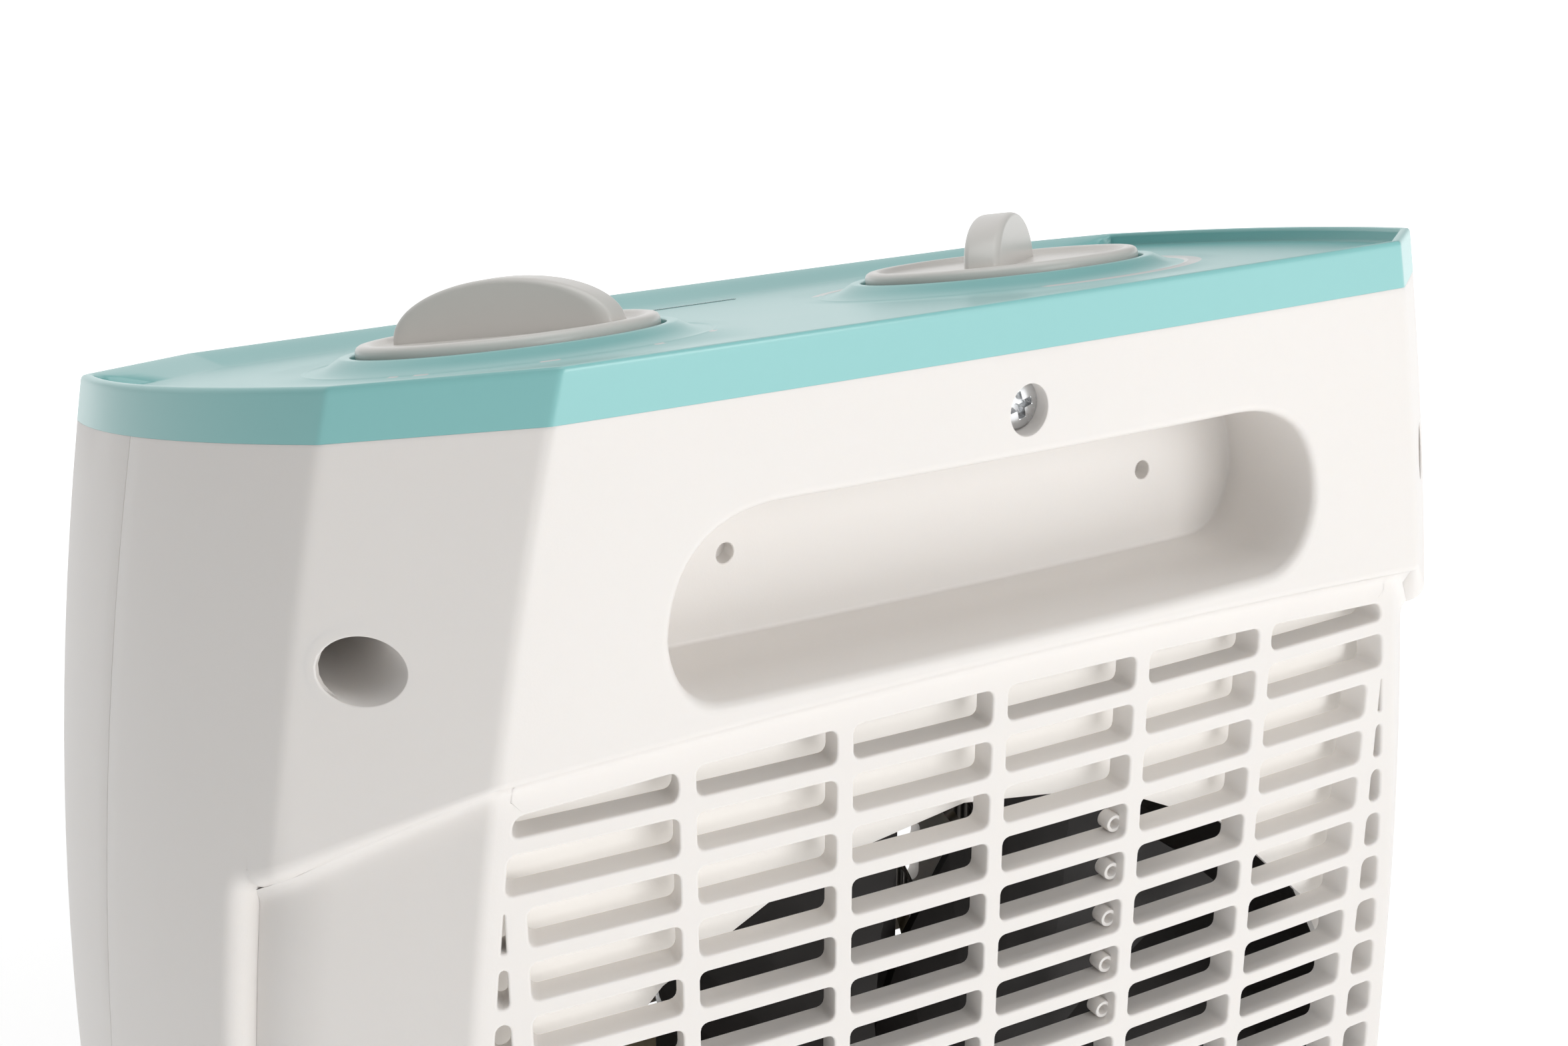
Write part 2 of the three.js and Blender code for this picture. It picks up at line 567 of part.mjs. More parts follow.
// A raised ring round a knob, with a hollow flank that runs out into the floor.
function collar() {
  const well = KNOB_RADIUS + KNOB_GAP;
  const top = FLOOR_LEVEL + COLLAR_HEIGHT;
  const low = FLOOR_LEVEL - 0.5;
  const profile = [[well, low], [well + COLLAR_LAND + COLLAR_FLARE, low]];
  for (let i = 0; i <= 3; i += 1) {
    const t = i / 3;
    const r = well + COLLAR_LAND + COLLAR_FLARE * (1 - t);
    profile.push([r, FLOOR_LEVEL + COLLAR_HEIGHT * t * t]);
  }
  profile.push([well, top], [well, low]);
  return turned(profile, 32);
}

function lensBody(grow = 0) {
  const shape = new THREE.Shape();
  const radius = LENS_RADIUS + grow;
  shape.absarc(LENS_HALF, 0, radius, -Math.PI / 2, Math.PI / 2);
  shape.absarc(-LENS_HALF, 0, radius, Math.PI / 2, (3 * Math.PI) / 2);
  const depth = CAP_FLOOR_THICK + LENS_LIP + 2 * grow;
  const options = { depth, bevelEnabled: false, curveSegments: 6 };
  const geometry = new THREE.ExtrudeGeometry(shape, options);
  return geometry.translate(0, 0, UNDER_LEVEL - LENS_LIP - grow);
}

// ---- knobs and controls ------------------------------------------------------------------

const KNOB_BOTTOM = KNOB_TOP - KNOB_DISC;
const SHAFT_TOP = KNOB_TOP + 1;
const CONTROL_TOP = UNDER_LEVEL - BRACKET_THICK - 2 * GAP;

// A knob with a dished disc, a half-moon grip fin and a hub, on its own axis.
function knob() {
  const lip = KNOB_RADIUS - KNOB_LIP;
  const edge = KNOB_RADIUS - KNOB_EDGE;
  const disc = [
    [0, KNOB_BOTTOM], [edge, KNOB_BOTTOM], [KNOB_RADIUS, KNOB_BOTTOM + KNOB_EDGE],
    [KNOB_RADIUS, KNOB_TOP - KNOB_EDGE], [edge, KNOB_TOP], [lip, KNOB_TOP - 0.2],
    [lip - 1.5 * KNOB_DISH, KNOB_TOP - KNOB_DISH], [0, KNOB_TOP - KNOB_DISH],
  ];
  const hub = rod(HUB_OUTER, FLOOR_LEVEL - 1.5, KNOB_TOP - KNOB_DISH);
  const moon = new THREE.Shape();
  const half = FIN_LENGTH / 2;
  moon.moveTo(-half, -2);
  moon.lineTo(half, -2);
  moon.lineTo(half, 0);
  for (let i = 1; i < 10; i += 1) {
    const angle = (Math.PI * i) / 10;
    moon.lineTo(half * Math.cos(angle), (FIN_HEIGHT + KNOB_DISH) * Math.sin(angle));
  }
  moon.lineTo(-half, 0);
  const fin = new THREE.ExtrudeGeometry(moon, { depth: FIN_THICK, bevelEnabled: false });
  fin.translate(0, 0, -FIN_THICK / 2).rotateX(Math.PI / 2).translate(0, 0, KNOB_TOP - KNOB_DISH);
  const socket = dShaft(SHAFT_RADIUS + GAP / 2, FLOOR_LEVEL - 3, SHAFT_TOP + GAP);
  return solid(turned(disc, 36)).add(solid(hub)).add(solid(fin)).subtract(socket);
}

// A round shaft with a flat on one side from the cap's floor up.
function dShaft(radius, z0, z1) {
  const flat = box(-radius, radius, radius - SHAFT_FLAT, radius + 1, FLOOR_LEVEL - 1.5, z1 + 1);
  return solid(rod(radius, z0, z1, 24)).subtract(flat);
}

function controlShaft() {
  return dShaft(SHAFT_RADIUS, CONTROL_TOP - SHAFT_DROP, SHAFT_TOP);
}

function boredControl(block) {
  const [long, wide, thick] = CONTROL_PLATE;
  const plate = box(-long, long, -wide, wide, CONTROL_TOP - thick, CONTROL_TOP);
  const low = CONTROL_TOP - SHAFT_DROP - GAP;
  const bore = rod(SHAFT_RADIUS + SHAFT_CLEARANCE, low, CONTROL_TOP + 1, 24);
  return block.add(plate).subtract(solid(bore));
}

function thermostatBody() {
  const [long, wide, high] = THERMOSTAT_BLOCK;
  return boredControl(box(-long, long, -wide, wide, CONTROL_TOP - high, CONTROL_TOP));
}

function selectorBody() {
  const [radius, high] = SELECTOR_CAN;
  return boredControl(solid(rod(radius, CONTROL_TOP - high, CONTROL_TOP, 16)));
}

function controlBracket() {
  const top = UNDER_LEVEL - GAP;
  const end = KNOB_X + BRACKET_END;
  const half = BRACKET_HALF_WIDTH;
  let plate = box(-end, end, -half, half, top - BRACKET_THICK, top);
  for (const side of [1, -1]) {
    const hole = rod(SHAFT_RADIUS + 1, top - 2, top + 1).translate(side * KNOB_X, 0, 0);
    plate = plate.subtract(solid(hole));
  }
  return plate;
}

// ---- intake grille -----------------------------------------------------------------------

// One slot with upright ends, or with an outer end that follows the flaring edge.
function slot(x0, endAt, z0) {
  const z1 = z0 + ROW_OPEN;
  const x1 = endAt(z1);
  const under = (x) => Math.min(z1, stepAt(x) - ARCH_MARGIN);
  return [[x0, z0], [endAt(z0), z0], [x1, under(x1)], [x0, under(x0)]];
}

function mirrored(points) {
  return points.map(([x, z]) => [-x, z]).reverse();
}

function rearGrille() {
  const hollow = barrel(GRILLE_INSET + WALL, 0).intersect(
    box(-FAR, FAR, -FAR, GRILLE_INNER_Y, -FAR, FAR));
  let panel = barrel(GRILLE_INSET).intersect(insetArea(0)).subtract(hollow);
  const half = RIB_WIDTH / 2;
  const edge = (z) => REAR_CORNER.x - GRILLE_INSET * CORNER_SHIFT - drawIn(z) - OUTER_MARGIN;
  for (let row = 0; row < ROW_COUNT; row += 1) {
    const z = TOP_ROW_BOTTOM - ROW_PITCH * row;
    const wide = edge(z) - OUTER_SLOT_START;
    const open = edge(z + ROW_OPEN) - OUTER_SLOT_START;
    const split = Math.min(wide, open) > 0;
    const slots = [
      slot(RIB_PITCH[0] + half, () => RIB_PITCH[1] - half, z),
      slot(RIB_PITCH[1] + half, () => RIB_PITCH[2] - half, z),
      slot(RIB_PITCH[2] + half, split ? () => COLUMN_END : edge, z),
    ];
    if (split) slots.push(slot(OUTER_SLOT_START, edge, z));
    for (const points of slots) {
      panel = panel.subtract(pushed(points, GRILLE_INNER_Y - 1, FAR));
      panel = panel.subtract(pushed(mirrored(points), GRILLE_INNER_Y - 1, FAR));
    }
  }
  return panel;
}

// ---- fan -----------------------------------------------------------------------------------

const BAFFLE_BACK_Y = GRILLE_INNER_Y - GAP;
const BAFFLE_FRONT_Y = BAFFLE_BACK_Y - BAFFLE_THICK;
const DUCT_BACK_Y = BAFFLE_FRONT_Y - GAP;
const IMPELLER_BACK_Y = DUCT_BACK_Y - IMPELLER_SETBACK;
const IMPELLER_FRONT_Y = IMPELLER_BACK_Y - BLADE_DEPTH;
const MOUNT_BACK_Y = IMPELLER_FRONT_Y - MOUNT_SETBACK;
const MOUNT_FRONT_Y = MOUNT_BACK_Y - MOUNT_THICK;
const REAR_PLATE_Y = MOUNT_FRONT_Y - GAP;
const STATOR_BACK_Y = REAR_PLATE_Y - BEARING_LENGTH - GAP;
const STATOR_FRONT_Y = STATOR_BACK_Y - STATOR_THICK;
const FRONT_PLATE_Y = STATOR_FRONT_Y - GAP;

// Sets a +Z solid on the fan's axis; its z becomes the distance along +Y.
function onFanAxis(geometry) {
  return alongY(geometry, 0, 0, FAN_HEIGHT);
}

function fanBaffle() {
  const room = barrel(GRILLE_INSET + WALL + 2 * GAP, 0);
  const zone = box(-FAR, FAR, BAFFLE_FRONT_Y, BAFFLE_BACK_Y, GRILLE_BOTTOM - 2, STEP_HEIGHT - 8);
  const opening = onFanAxis(rod(FAN_OPENING, BAFFLE_FRONT_Y - 1, BAFFLE_BACK_Y + 1, FAN_FACETS));
  return room.intersect(zone).subtract(solid(opening));
}

function fanDuct() {
  return onFanAxis(tube(FAN_OPENING, FAN_OPENING + DUCT_WALL, DUCT_FRONT_Y, DUCT_BACK_Y, 48));
}

// One blade: a thin bar bent round the hub and pitched, steepest at the root.
function blade(index) {
  const span = IMPELLER_RADIUS - HUB_RADIUS + 2;
  const geometry = new THREE.BoxGeometry(span, BLADE_THICK, 1, 4, 1, 4);
  const position = geometry.attributes.position;
  const middleY = (IMPELLER_BACK_Y + IMPELLER_FRONT_Y) / 2;
  for (let i = 0; i < position.count; i += 1) {
    const along = position.getX(i) / span + 0.5;
    const radius = HUB_RADIUS - 2 + span * along;
    const chord = position.getZ(i);
    const pitch = THREE.MathUtils.lerp(...BLADE_PITCH, along);
    const width = THREE.MathUtils.lerp(...BLADE_WIDTH, along);
    const camber = BLADE_CAMBER * (1 - 4 * chord * chord);
    const tangent = chord * width * Math.cos(pitch);
    const depth = chord * width * Math.sin(pitch) + position.getY(i) + camber;
    const start = (index * 2 * Math.PI) / BLADE_COUNT;
    const angle = start + tangent / radius + BLADE_SWEEP * along;
    const y = THREE.MathUtils.clamp(middleY + depth, IMPELLER_FRONT_Y, IMPELLER_BACK_Y);
    position.setXYZ(i, radius * Math.cos(angle), y, FAN_HEIGHT + radius * Math.sin(angle));
  }
  return solid(geometry);
}

function fanImpeller() {
  const hub = rod(HUB_RADIUS, IMPELLER_FRONT_Y + 1, IMPELLER_BACK_Y - 2, 28);
  const bore = rod(MOTOR_SHAFT_RADIUS + GAP / 2, -FAR / 2, FAR / 2, 16);
  const hollow = rod(HUB_RADIUS - 3, IMPELLER_FRONT_Y, IMPELLER_BACK_Y - 5, 28);
  const core = rod(MOTOR_SHAFT_RADIUS + 3, IMPELLER_FRONT_Y + 1, IMPELLER_BACK_Y - 3, 16);
  let impeller = solid(onFanAxis(hub));
  for (let i = 0; i < BLADE_COUNT; i += 1) impeller = impeller.add(blade(i));
  impeller = impeller.subtract(solid(onFanAxis(hollow))).add(solid(onFanAxis(core)));
  return impeller.subtract(solid(onFanAxis(bore)));
}

function motorShaft() {
  return onFanAxis(rod(MOTOR_SHAFT_RADIUS, FRONT_PLATE_Y - 9, IMPELLER_BACK_Y - 1, 16));
}

function fanClip() {
  const start = IMPELLER_BACK_Y - 2 + GAP;
  const inside = MOTOR_SHAFT_RADIUS + GAP / 2;
  return onFanAxis(tube(inside, MOTOR_SHAFT_RADIUS + 3.5, start, start + 1, 20));
}

// The spider that carries the motor: a plate with three arms that reach the duct.
function motorMount() {
  let mount = solid(onFanAxis(rod(STATOR_SIZE * 0.56, MOUNT_FRONT_Y, MOUNT_BACK_Y, 24)));
  const reach = FAN_OPENING - GAP * 4;
  for (let i = 0; i < 3; i += 1) {
    const arm = new THREE.BoxGeometry(MOUNT_ARM, MOUNT_THICK, reach);
    arm.translate(0, (MOUNT_BACK_Y + MOUNT_FRONT_Y) / 2, reach / 2);
    arm.rotateY((i * 2 * Math.PI) / 3).translate(0, 0, FAN_HEIGHT);
    mount = mount.add(solid(arm));
  }
  return mount.subtract(solid(onFanAxis(rod(9, MOUNT_FRONT_Y - 1, MOUNT_BACK_Y + 1, 20))));
}

function motorStator() {
  const half = STATOR_SIZE / 2;
  const low = FAN_HEIGHT - half - STATOR_LEG;
  const core = box(-half, half, STATOR_FRONT_Y, STATOR_BACK_Y, low, FAN_HEIGHT + half);
  const open = half - STATOR_LEG;
  const top = FAN_HEIGHT - ROTOR_RADIUS - 4;
  const window = box(-open, open, -FAR, FAR, low + STATOR_LEG + 1, top);
  const bore = rod(ROTOR_RADIUS + ROTOR_GAP, -FAR / 2, FAR / 2, 32);
  return core.subtract(window.add(solid(onFanAxis(bore))));
}

// The winding round the stator's lower bar.
function motorCoil() {
  const low = FAN_HEIGHT - STATOR_SIZE / 2;
  const half = STATOR_SIZE / 2 - STATOR_LEG - GAP;
  const y0 = STATOR_FRONT_Y - COIL_WRAP;
  const y1 = STATOR_BACK_Y + BEARING_LENGTH;
  const all = box(-half, half, y0, y1, low - STATOR_LEG - 8, low + 8);
  const bar = box(-FAR, FAR, STATOR_FRONT_Y - GAP, STATOR_BACK_Y + GAP,
    low - STATOR_LEG - GAP, low + 1 + GAP);
  return all.subtract(bar);
}

function motorRotor() {
  const inside = MOTOR_SHAFT_RADIUS + GAP / 2;
  const y0 = STATOR_FRONT_Y + ROTOR_GAP;
  return onFanAxis(tube(inside, ROTOR_RADIUS, y0, STATOR_BACK_Y - ROTOR_GAP, 32));
}

// An end plate of the motor with a bearing seat; back is its side towards the impeller.
function motorPlate(back) {
  const half = STATOR_SIZE / 2;
  const low = FAN_HEIGHT - PLATE_HALF;
  const bar = box(-half, half, back - PLATE_THICK, back, low, low + 2 * PLATE_HALF);
  const seat = solid(onFanAxis(rod(PLATE_HALF, back - BEARING_LENGTH, back, 24)));
  const bore = solid(onFanAxis(rod(BEARING_RADIUS + GAP / 2, -FAR / 2, FAR / 2, 24)));
  return bar.add(seat).subtract(bore);
}

function bearing(back) {
  const inside = MOTOR_SHAFT_RADIUS + SHAFT_CLEARANCE;
  return onFanAxis(tube(inside, BEARING_RADIUS, back - BEARING_LENGTH, back, 24));
}

// ---- heater ----------------------------------------------------------------------------------

const RING_OUTER = FAN_OPENING - GAP * 2;
const RING_INNER = RING_OUTER - RING_WALL;
const MICA_RADIUS = RING_INNER - GAP;
const COIL_RADII = COIL_SPOTS.map((spot) => spot * MICA_RADIUS);

function heaterRing() {
  const half = MICA_HALF_DEPTH + RING_LIP;
  return onFanAxis(tube(RING_INNER, RING_OUTER, HEATER_Y - half, HEATER_Y + half, 40));
}

function coilShape(radius, minor) {
  const geometry = new THREE.TorusGeometry(radius, minor, 6, 36);
  return geometry.rotateX(Math.PI / 2).translate(0, HEATER_Y, FAN_HEIGHT);
}

function micaCross() {
  const y0 = HEATER_Y - MICA_HALF_DEPTH;
  const y1 = HEATER_Y + MICA_HALF_DEPTH;
  const half = MICA_THICK / 2;
  const reach = MICA_RADIUS - GAP;
  const level = box(-reach, reach, y0, y1, FAN_HEIGHT - half, FAN_HEIGHT + half);
  const upright = box(-half, half, y0, y1, FAN_HEIGHT - reach, FAN_HEIGHT + reach);
  let cross = level.add(upright);
  for (const radius of COIL_RADII) {
    cross = cross.subtract(solid(coilShape(radius, COIL_TUBE + GAP)));
  }
  return cross;
}

function thermalCutout() {
  const back = HEATER_Y - MICA_HALF_DEPTH - GAP;
  return onFanAxis(rod(CUTOUT_RADIUS, back - CUTOUT_HEIGHT, back, 20));
}

// ---- front outlet ------------------------------------------------------------------------------

function outletGrille() {
  const backY = OUTLET_DEPTH - HALF_DEPTH;
  const face = barrel(OUTLET_SINK);
  const zone = box(-OUTLET_HALF_WIDTH, OUTLET_HALF_WIDTH, -FAR, backY, OUTLET_BOTTOM, OUTLET_TOP);
  let grille = face.intersect(zone);
  const low = OUTLET_BOTTOM + OUTLET_BORDER;
  const pitch = (OUTLET_TOP - OUTLET_BORDER - low + OUTLET_BAR) / OUTLET_ROWS;
  const wide = OUTLET_HALF_WIDTH - OUTLET_BORDER;
  const thirds = (2 * wide) / 3;
  for (let row = 0; row < OUTLET_ROWS; row += 1) {
    const z = low + row * pitch;
    for (let column = 0; column < 3; column += 1) {
      const x = -wide + column * thirds + (column ? OUTLET_BAR / 2 : 0);
      const end = -wide + (column + 1) * thirds - (column < 2 ? OUTLET_BAR / 2 : 0);
      grille = grille.subtract(box(x, end, -FAR, backY + 1, z, z + pitch - OUTLET_BAR));
    }
  }
  return grille;
}

// ---- base, feet and inlet ----------------------------------------------------------------------

function baseCover() {
  let plate = barrel(WALL + GAP, FOOT_HEIGHT, FOOT_HEIGHT + BASE_THICK, 1);
  for (const [side, end] of BASE_SCREWS) {
    const hole = rod(SCREW_RADIUS + GAP, 0, FAR);
    const stud = rod(FOOT_STUD + GAP, 0, FAR);
    plate = plate.subtract(solid(hole.translate(side * BASE_SCREW_X, end * BASE_SCREW_Y, 0)));
    plate = plate.subtract(solid(stud.translate(side * FOOT_X, end * FOOT_Y, 0)));
  }
  return plate;
}

function foot() {
  const top = FOOT_HEIGHT - GAP;
  const stud = FOOT_HEIGHT + BASE_THICK + 1.5;
  const pad = [[0, 0], [FOOT_RADIUS - 1, 0], [FOOT_RADIUS, 0.8], [FOOT_RADIUS, top]];
  return turned([...pad, [FOOT_STUD, top], [FOOT_STUD, stud], [0, stud]], 20);
}

function cordGland() {
  const seat = GLAND_SEAT;
  const low = -GLAND_LENGTH;
  const profile = [
    [GLAND_BORE, low], [GLAND_RADIUS, low], [GLAND_RADIUS, seat], [GLAND_FLANGE, seat],
    [GLAND_FLANGE, seat + 1.6], [GLAND_BORE + 1.2, seat + 5], [GLAND_BORE, seat + 5],
    [GLAND_BORE, low],
  ];
  return onChamfer(turned(profile, 20));
}

function terminalBlock() {
  const floor = FOOT_HEIGHT + BASE_THICK + GAP;
  const [x0, x1, y0, y1, high] = TERMINAL;
  return box(x0, x1, y0, y1, floor, floor + high);
}

// ---- assembly ----------------------------------------------------------------------------------

const heater = new THREE.Group();

function add(name, look, shape) {
  const geometry = shape.isBufferGeometry ? shape : geometryOf(shape);
  const mesh = new THREE.Mesh(geometry, material(look));
  mesh.name = name;
  heater.add(mesh);
  return mesh;
}

add('front_shell', 'housing', frontShell());
add('rear_shell', 'housing', rearShell());
add('rear_grille', 'housing', rearGrille());
add('outlet_grille', 'housing', outletGrille());
add('base_cover', 'housing', baseCover());
add('top_cap', 'teal', topCap());

const CONTROLS = [
  ['selector', 1, SELECTOR_REST, selectorBody()],
  ['thermostat', -1, THERMOSTAT_REST, thermostatBody()],
];
for (const [name, side, rest, body] of CONTROLS) {
  const turn = (shape) => onCap(
    geometryOf(shape).rotateZ(THREE.MathUtils.degToRad(rest)), side * KNOB_X, KNOB_Y);
  add(`${name}_knob`, 'knob', turn(knob()));
  add(`${name}_shaft`, 'steel', turn(controlShaft()));
  add(`${name}_body`, 'dark', onCap(geometryOf(body), side * KNOB_X, KNOB_Y));
}
add('control_bracket', 'steel', onCap(geometryOf(controlBracket()), 0, KNOB_Y));
add('indicator_lens', 'lens', onCap(lensBody(), 0, LENS_Y));

add('fan_baffle', 'housing', fanBaffle());
add('fan_duct', 'dark', fanDuct());
add('fan_impeller', 'dark', fanImpeller());
add('motor_shaft', 'steel', motorShaft());
add('fan_clip', 'zinc', fanClip());
add('motor_mount', 'steel', motorMount());
add('motor_plate_rear', 'steel', motorPlate(REAR_PLATE_Y));
add('motor_plate_front', 'steel', motorPlate(FRONT_PLATE_Y));
add('motor_bearing_rear', 'bronze', bearing(REAR_PLATE_Y));
add('motor_bearing_front', 'bronze', bearing(FRONT_PLATE_Y));
add('motor_stator', 'steel', motorStator());
add('motor_coil', 'copper', motorCoil());
add('motor_rotor', 'steel', motorRotor());

add('heater_ring', 'steel', heaterRing());
add('mica_cross', 'mica', micaCross());
COIL_RADII.forEach((radius, i) => {
  add(`heating_coil_${i + 1}`, 'nichrome', coilShape(radius, COIL_TUBE));
});
add('thermal_cutout', 'zinc', thermalCutout());
add('terminal_block', 'dark', terminalBlock());
add('cord_gland', 'dark', cordGland());

add('top_screw', 'zinc', alongY(screw(TOP_SCREW_LENGTH), 0, topSeatY + GAP, topScrewZ));
for (const [name, side] of CASE_SCREWS) {
  const place = [side * CASE_SCREW_X, caseSeatY + GAP, CASE_SCREW_Z];
  add(`case_screw_${name}`, 'zinc', alongY(screw(CASE_SCREW_LENGTH), ...place));
}
BASE_SCREWS.forEach(([side, end], i) => {
  const driven = screw(BASE_SCREW_LENGTH).rotateX(Math.PI);
  const place = [side * BASE_SCREW_X, end * BASE_SCREW_Y, FOOT_HEIGHT - GAP];
  add(`base_screw_${i + 1}`, 'zinc', driven.translate(...place));
  add(`foot_${i + 1}`, 'rubber', foot().translate(side * FOOT_X, end * FOOT_Y, 0));
});

export default heater;
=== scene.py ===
"""The looks of an upright fan heater: a barrel-sided housing in two halves with a sloping teal cap,
two dial knobs, a handle recess and a slotted air intake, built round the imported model."""

import math

import bmesh
import bpy
import numpy as np
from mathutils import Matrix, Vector


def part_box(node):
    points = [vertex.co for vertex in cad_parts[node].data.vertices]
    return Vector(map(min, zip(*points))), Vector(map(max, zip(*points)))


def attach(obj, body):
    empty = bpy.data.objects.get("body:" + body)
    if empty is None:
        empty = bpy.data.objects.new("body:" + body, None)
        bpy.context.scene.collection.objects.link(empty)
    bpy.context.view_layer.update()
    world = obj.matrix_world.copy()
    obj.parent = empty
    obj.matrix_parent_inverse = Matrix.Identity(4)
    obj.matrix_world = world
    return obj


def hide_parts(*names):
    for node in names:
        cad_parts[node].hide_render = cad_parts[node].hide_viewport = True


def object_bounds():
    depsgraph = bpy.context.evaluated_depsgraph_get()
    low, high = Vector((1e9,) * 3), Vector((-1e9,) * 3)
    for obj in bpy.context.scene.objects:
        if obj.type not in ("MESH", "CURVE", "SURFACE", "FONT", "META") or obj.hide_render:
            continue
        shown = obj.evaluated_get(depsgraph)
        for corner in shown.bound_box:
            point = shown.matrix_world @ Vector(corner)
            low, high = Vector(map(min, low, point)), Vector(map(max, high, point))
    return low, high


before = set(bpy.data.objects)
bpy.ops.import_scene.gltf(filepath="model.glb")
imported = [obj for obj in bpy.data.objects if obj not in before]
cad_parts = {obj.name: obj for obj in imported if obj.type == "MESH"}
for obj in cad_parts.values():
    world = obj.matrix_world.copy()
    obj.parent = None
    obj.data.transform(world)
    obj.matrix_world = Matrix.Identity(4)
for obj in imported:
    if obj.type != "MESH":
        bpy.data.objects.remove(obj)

bl_info = {
    "name": "Fan heater",
    "version": (1, 0, 0),
    "blender": (4, 5, 0),
    "location": "View3D > Sidebar > Heater",
    "description": "Builds the surfaces and finishes of an upright fan heater",
    "category": "Add Mesh",
}

# ---- sizes, in millimetres unless said -------------------------------------------------------

MM = 0.001
CAD_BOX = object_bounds()
CAD_HIGH = np.array(CAD_BOX[1]) / MM


def node_box(name):
    """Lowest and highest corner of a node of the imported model, in millimetres."""
    low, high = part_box(name)
    return np.array(low) / MM, np.array(high) / MM


HALF_WIDTH = float(np.round(CAD_HIGH[0]))
HALF_DEPTH = float(CAD_HIGH[1])
REAR_HEIGHT = float(node_box("top_cap")[1][2])
FOOT_HEIGHT = float(node_box("front_shell")[0][2])
GAP = 0.3
CAP_SLOPE = 0.2324
CAP_BAND = 7.9
CAP_FLOOR = 2.9
BULGE_HEIGHT = 116.0
BULGE_RATE = 0.0007
RIM_HEIGHT = REAR_HEIGHT - CAP_SLOPE * HALF_DEPTH
TILT = math.atan(CAP_SLOPE)
BOW = {"back": 2.4, "side": 6.5, "front": 2.8}
REAR_CORNER = (HALF_WIDTH - 34.3, HALF_DEPTH - BOW["back"])
SIDE_REAR = (HALF_WIDTH - 11.0, HALF_DEPTH - 25.3)
SIDE_FRONT = (HALF_WIDTH - 3.0, 24.3 - HALF_DEPTH)
FRONT_CORNER = (HALF_WIDTH - 27.3, BOW["front"] - HALF_DEPTH)
PARTING_Y = -4.4
CREASE_ROWS = 1.8                                           # half length of the rows at a crease
SHOULDER_TURN = 4.0                                         # radius of the hood's shoulder

# patches of the rear shell, as distances along the back and above the hood and the handle
SCREW_PATCH = 9.0
HANDLE_PATCH = 76.0
ABOVE_HOOD = 1.8
ABOVE_HANDLE = 2.6

GRILLE_INSET = 4.3
GRILLE_BOTTOM = 20.0
GRILLE_THICK = 4.7
GRILLE_GAP = 0.08
GRILLE_FOOT = GRILLE_BOTTOM + GRILLE_GAP
SLOT_EASE = {"up": 0.25, "across": 0.12}                    # added on each side of a slot
GRILLE_SIDE_Y = 42.0
STEP_TOP = REAR_HEIGHT - 56.9
STEP_ARCH = 3.0
SHOULDER = STEP_TOP - STEP_ARCH - 24.0
ROW_PITCH = 9.02
ROW_OPEN = 5.8
ROW_COUNT = 22
ROW_TOP = STEP_TOP - 12.4
RIB_PITCH = (0.0, 28.3, 54.9)
RIB_WIDTH = 3.2
COLUMN_END = 80.5
OUTER_START = 84.1
OUTER_MARGIN = 1.45
ARCH_MARGIN = 6.6
EDGE_DEPTHS = np.array([0.0, 0.3, 0.8, 1.5, 2.2, 3.0, 4.0])  # rows at the intake panel's edge
EDGE_ZONE = EDGE_DEPTHS[-1]

HANDLE_TOP = REAR_HEIGHT - 24.3
HANDLE_BOTTOM = HANDLE_TOP - 29.0
HANDLE_DEPTH = 21.5
HANDLE_HALF = {"wide": 58.0, "top": 40.0, "bottom": 49.0}
CASE_BORE = {"x": 97.3, "z": REAR_HEIGHT - 44.6, "radius": 5.0}
CASE_SEAT_Y = PARTING_Y + GAP + 6.0
TOP_BORE = {"z": REAR_HEIGHT - CAP_BAND - 9.1, "radius": 4.0, "depth": 5.0}
FLOW_HOLE = {"x": 39.3, "z": REAR_HEIGHT - 39.7, "radius": 1.65, "depth": 3.0}

KNOB_X = 49.1
KNOB_Y = -4.6
FIN_HEADING = {"selector": -50.0, "thermostat": 47.0}       # degrees from the X axis
KNOB_SIDE = {"selector": 1, "thermostat": -1}
KNOB_TOP = 0.9                                              # top of a knob's disc above the rim
FIN_SWELL = 0.94                                            # power that fills out the half-moon fin
SCREW_HEAD = {"radius": 3.7, "height": 2.2, "turn": 0.28}

# printed marks on the cap: degrees about the knob with the half width in radians, and metres
SELECTOR_MARKS = ((140, 0.045), (111, 0.035), (79, 0.05), (46, 0.04), (38, 0.03))
MARK_RING = {"radius": 0.035, "half": 0.0006}
SCALE_ARC = {"radius": 0.0352, "middle": -15, "reach": 128, "thin": 0.0012, "swell": 0.0008}

# the stage, in metres and watts
FLOOR_HALF = 30.0
AREA_LIGHTS = (("key_light", (-0.45, 2.0, 0.8), 1.1, 18.0),
               ("top_light", (0.0, -0.1, 2.4), 2.0, 22.0))
LIGHT_AIM = (0.0, 0.0, 0.16)
CAMERA_PLACE = (0.17676, 0.32408, 0.37270)
CAMERA_AIM = (0.01226, 0.0235, 0.24206)


# ---- settings a user can change ----------------------------------------------------------------

def length(name, description, default):
    """A length property, in metres."""
    return bpy.props.FloatProperty(name=name, description=description, default=default,
                                   min=0.0, precision=5, unit="LENGTH")


def colour(name, description, default):
    """A colour property."""
    return bpy.props.FloatVectorProperty(name=name, description=description, default=default,
                                         size=3, min=0.0, max=1.0, subtype="COLOR")


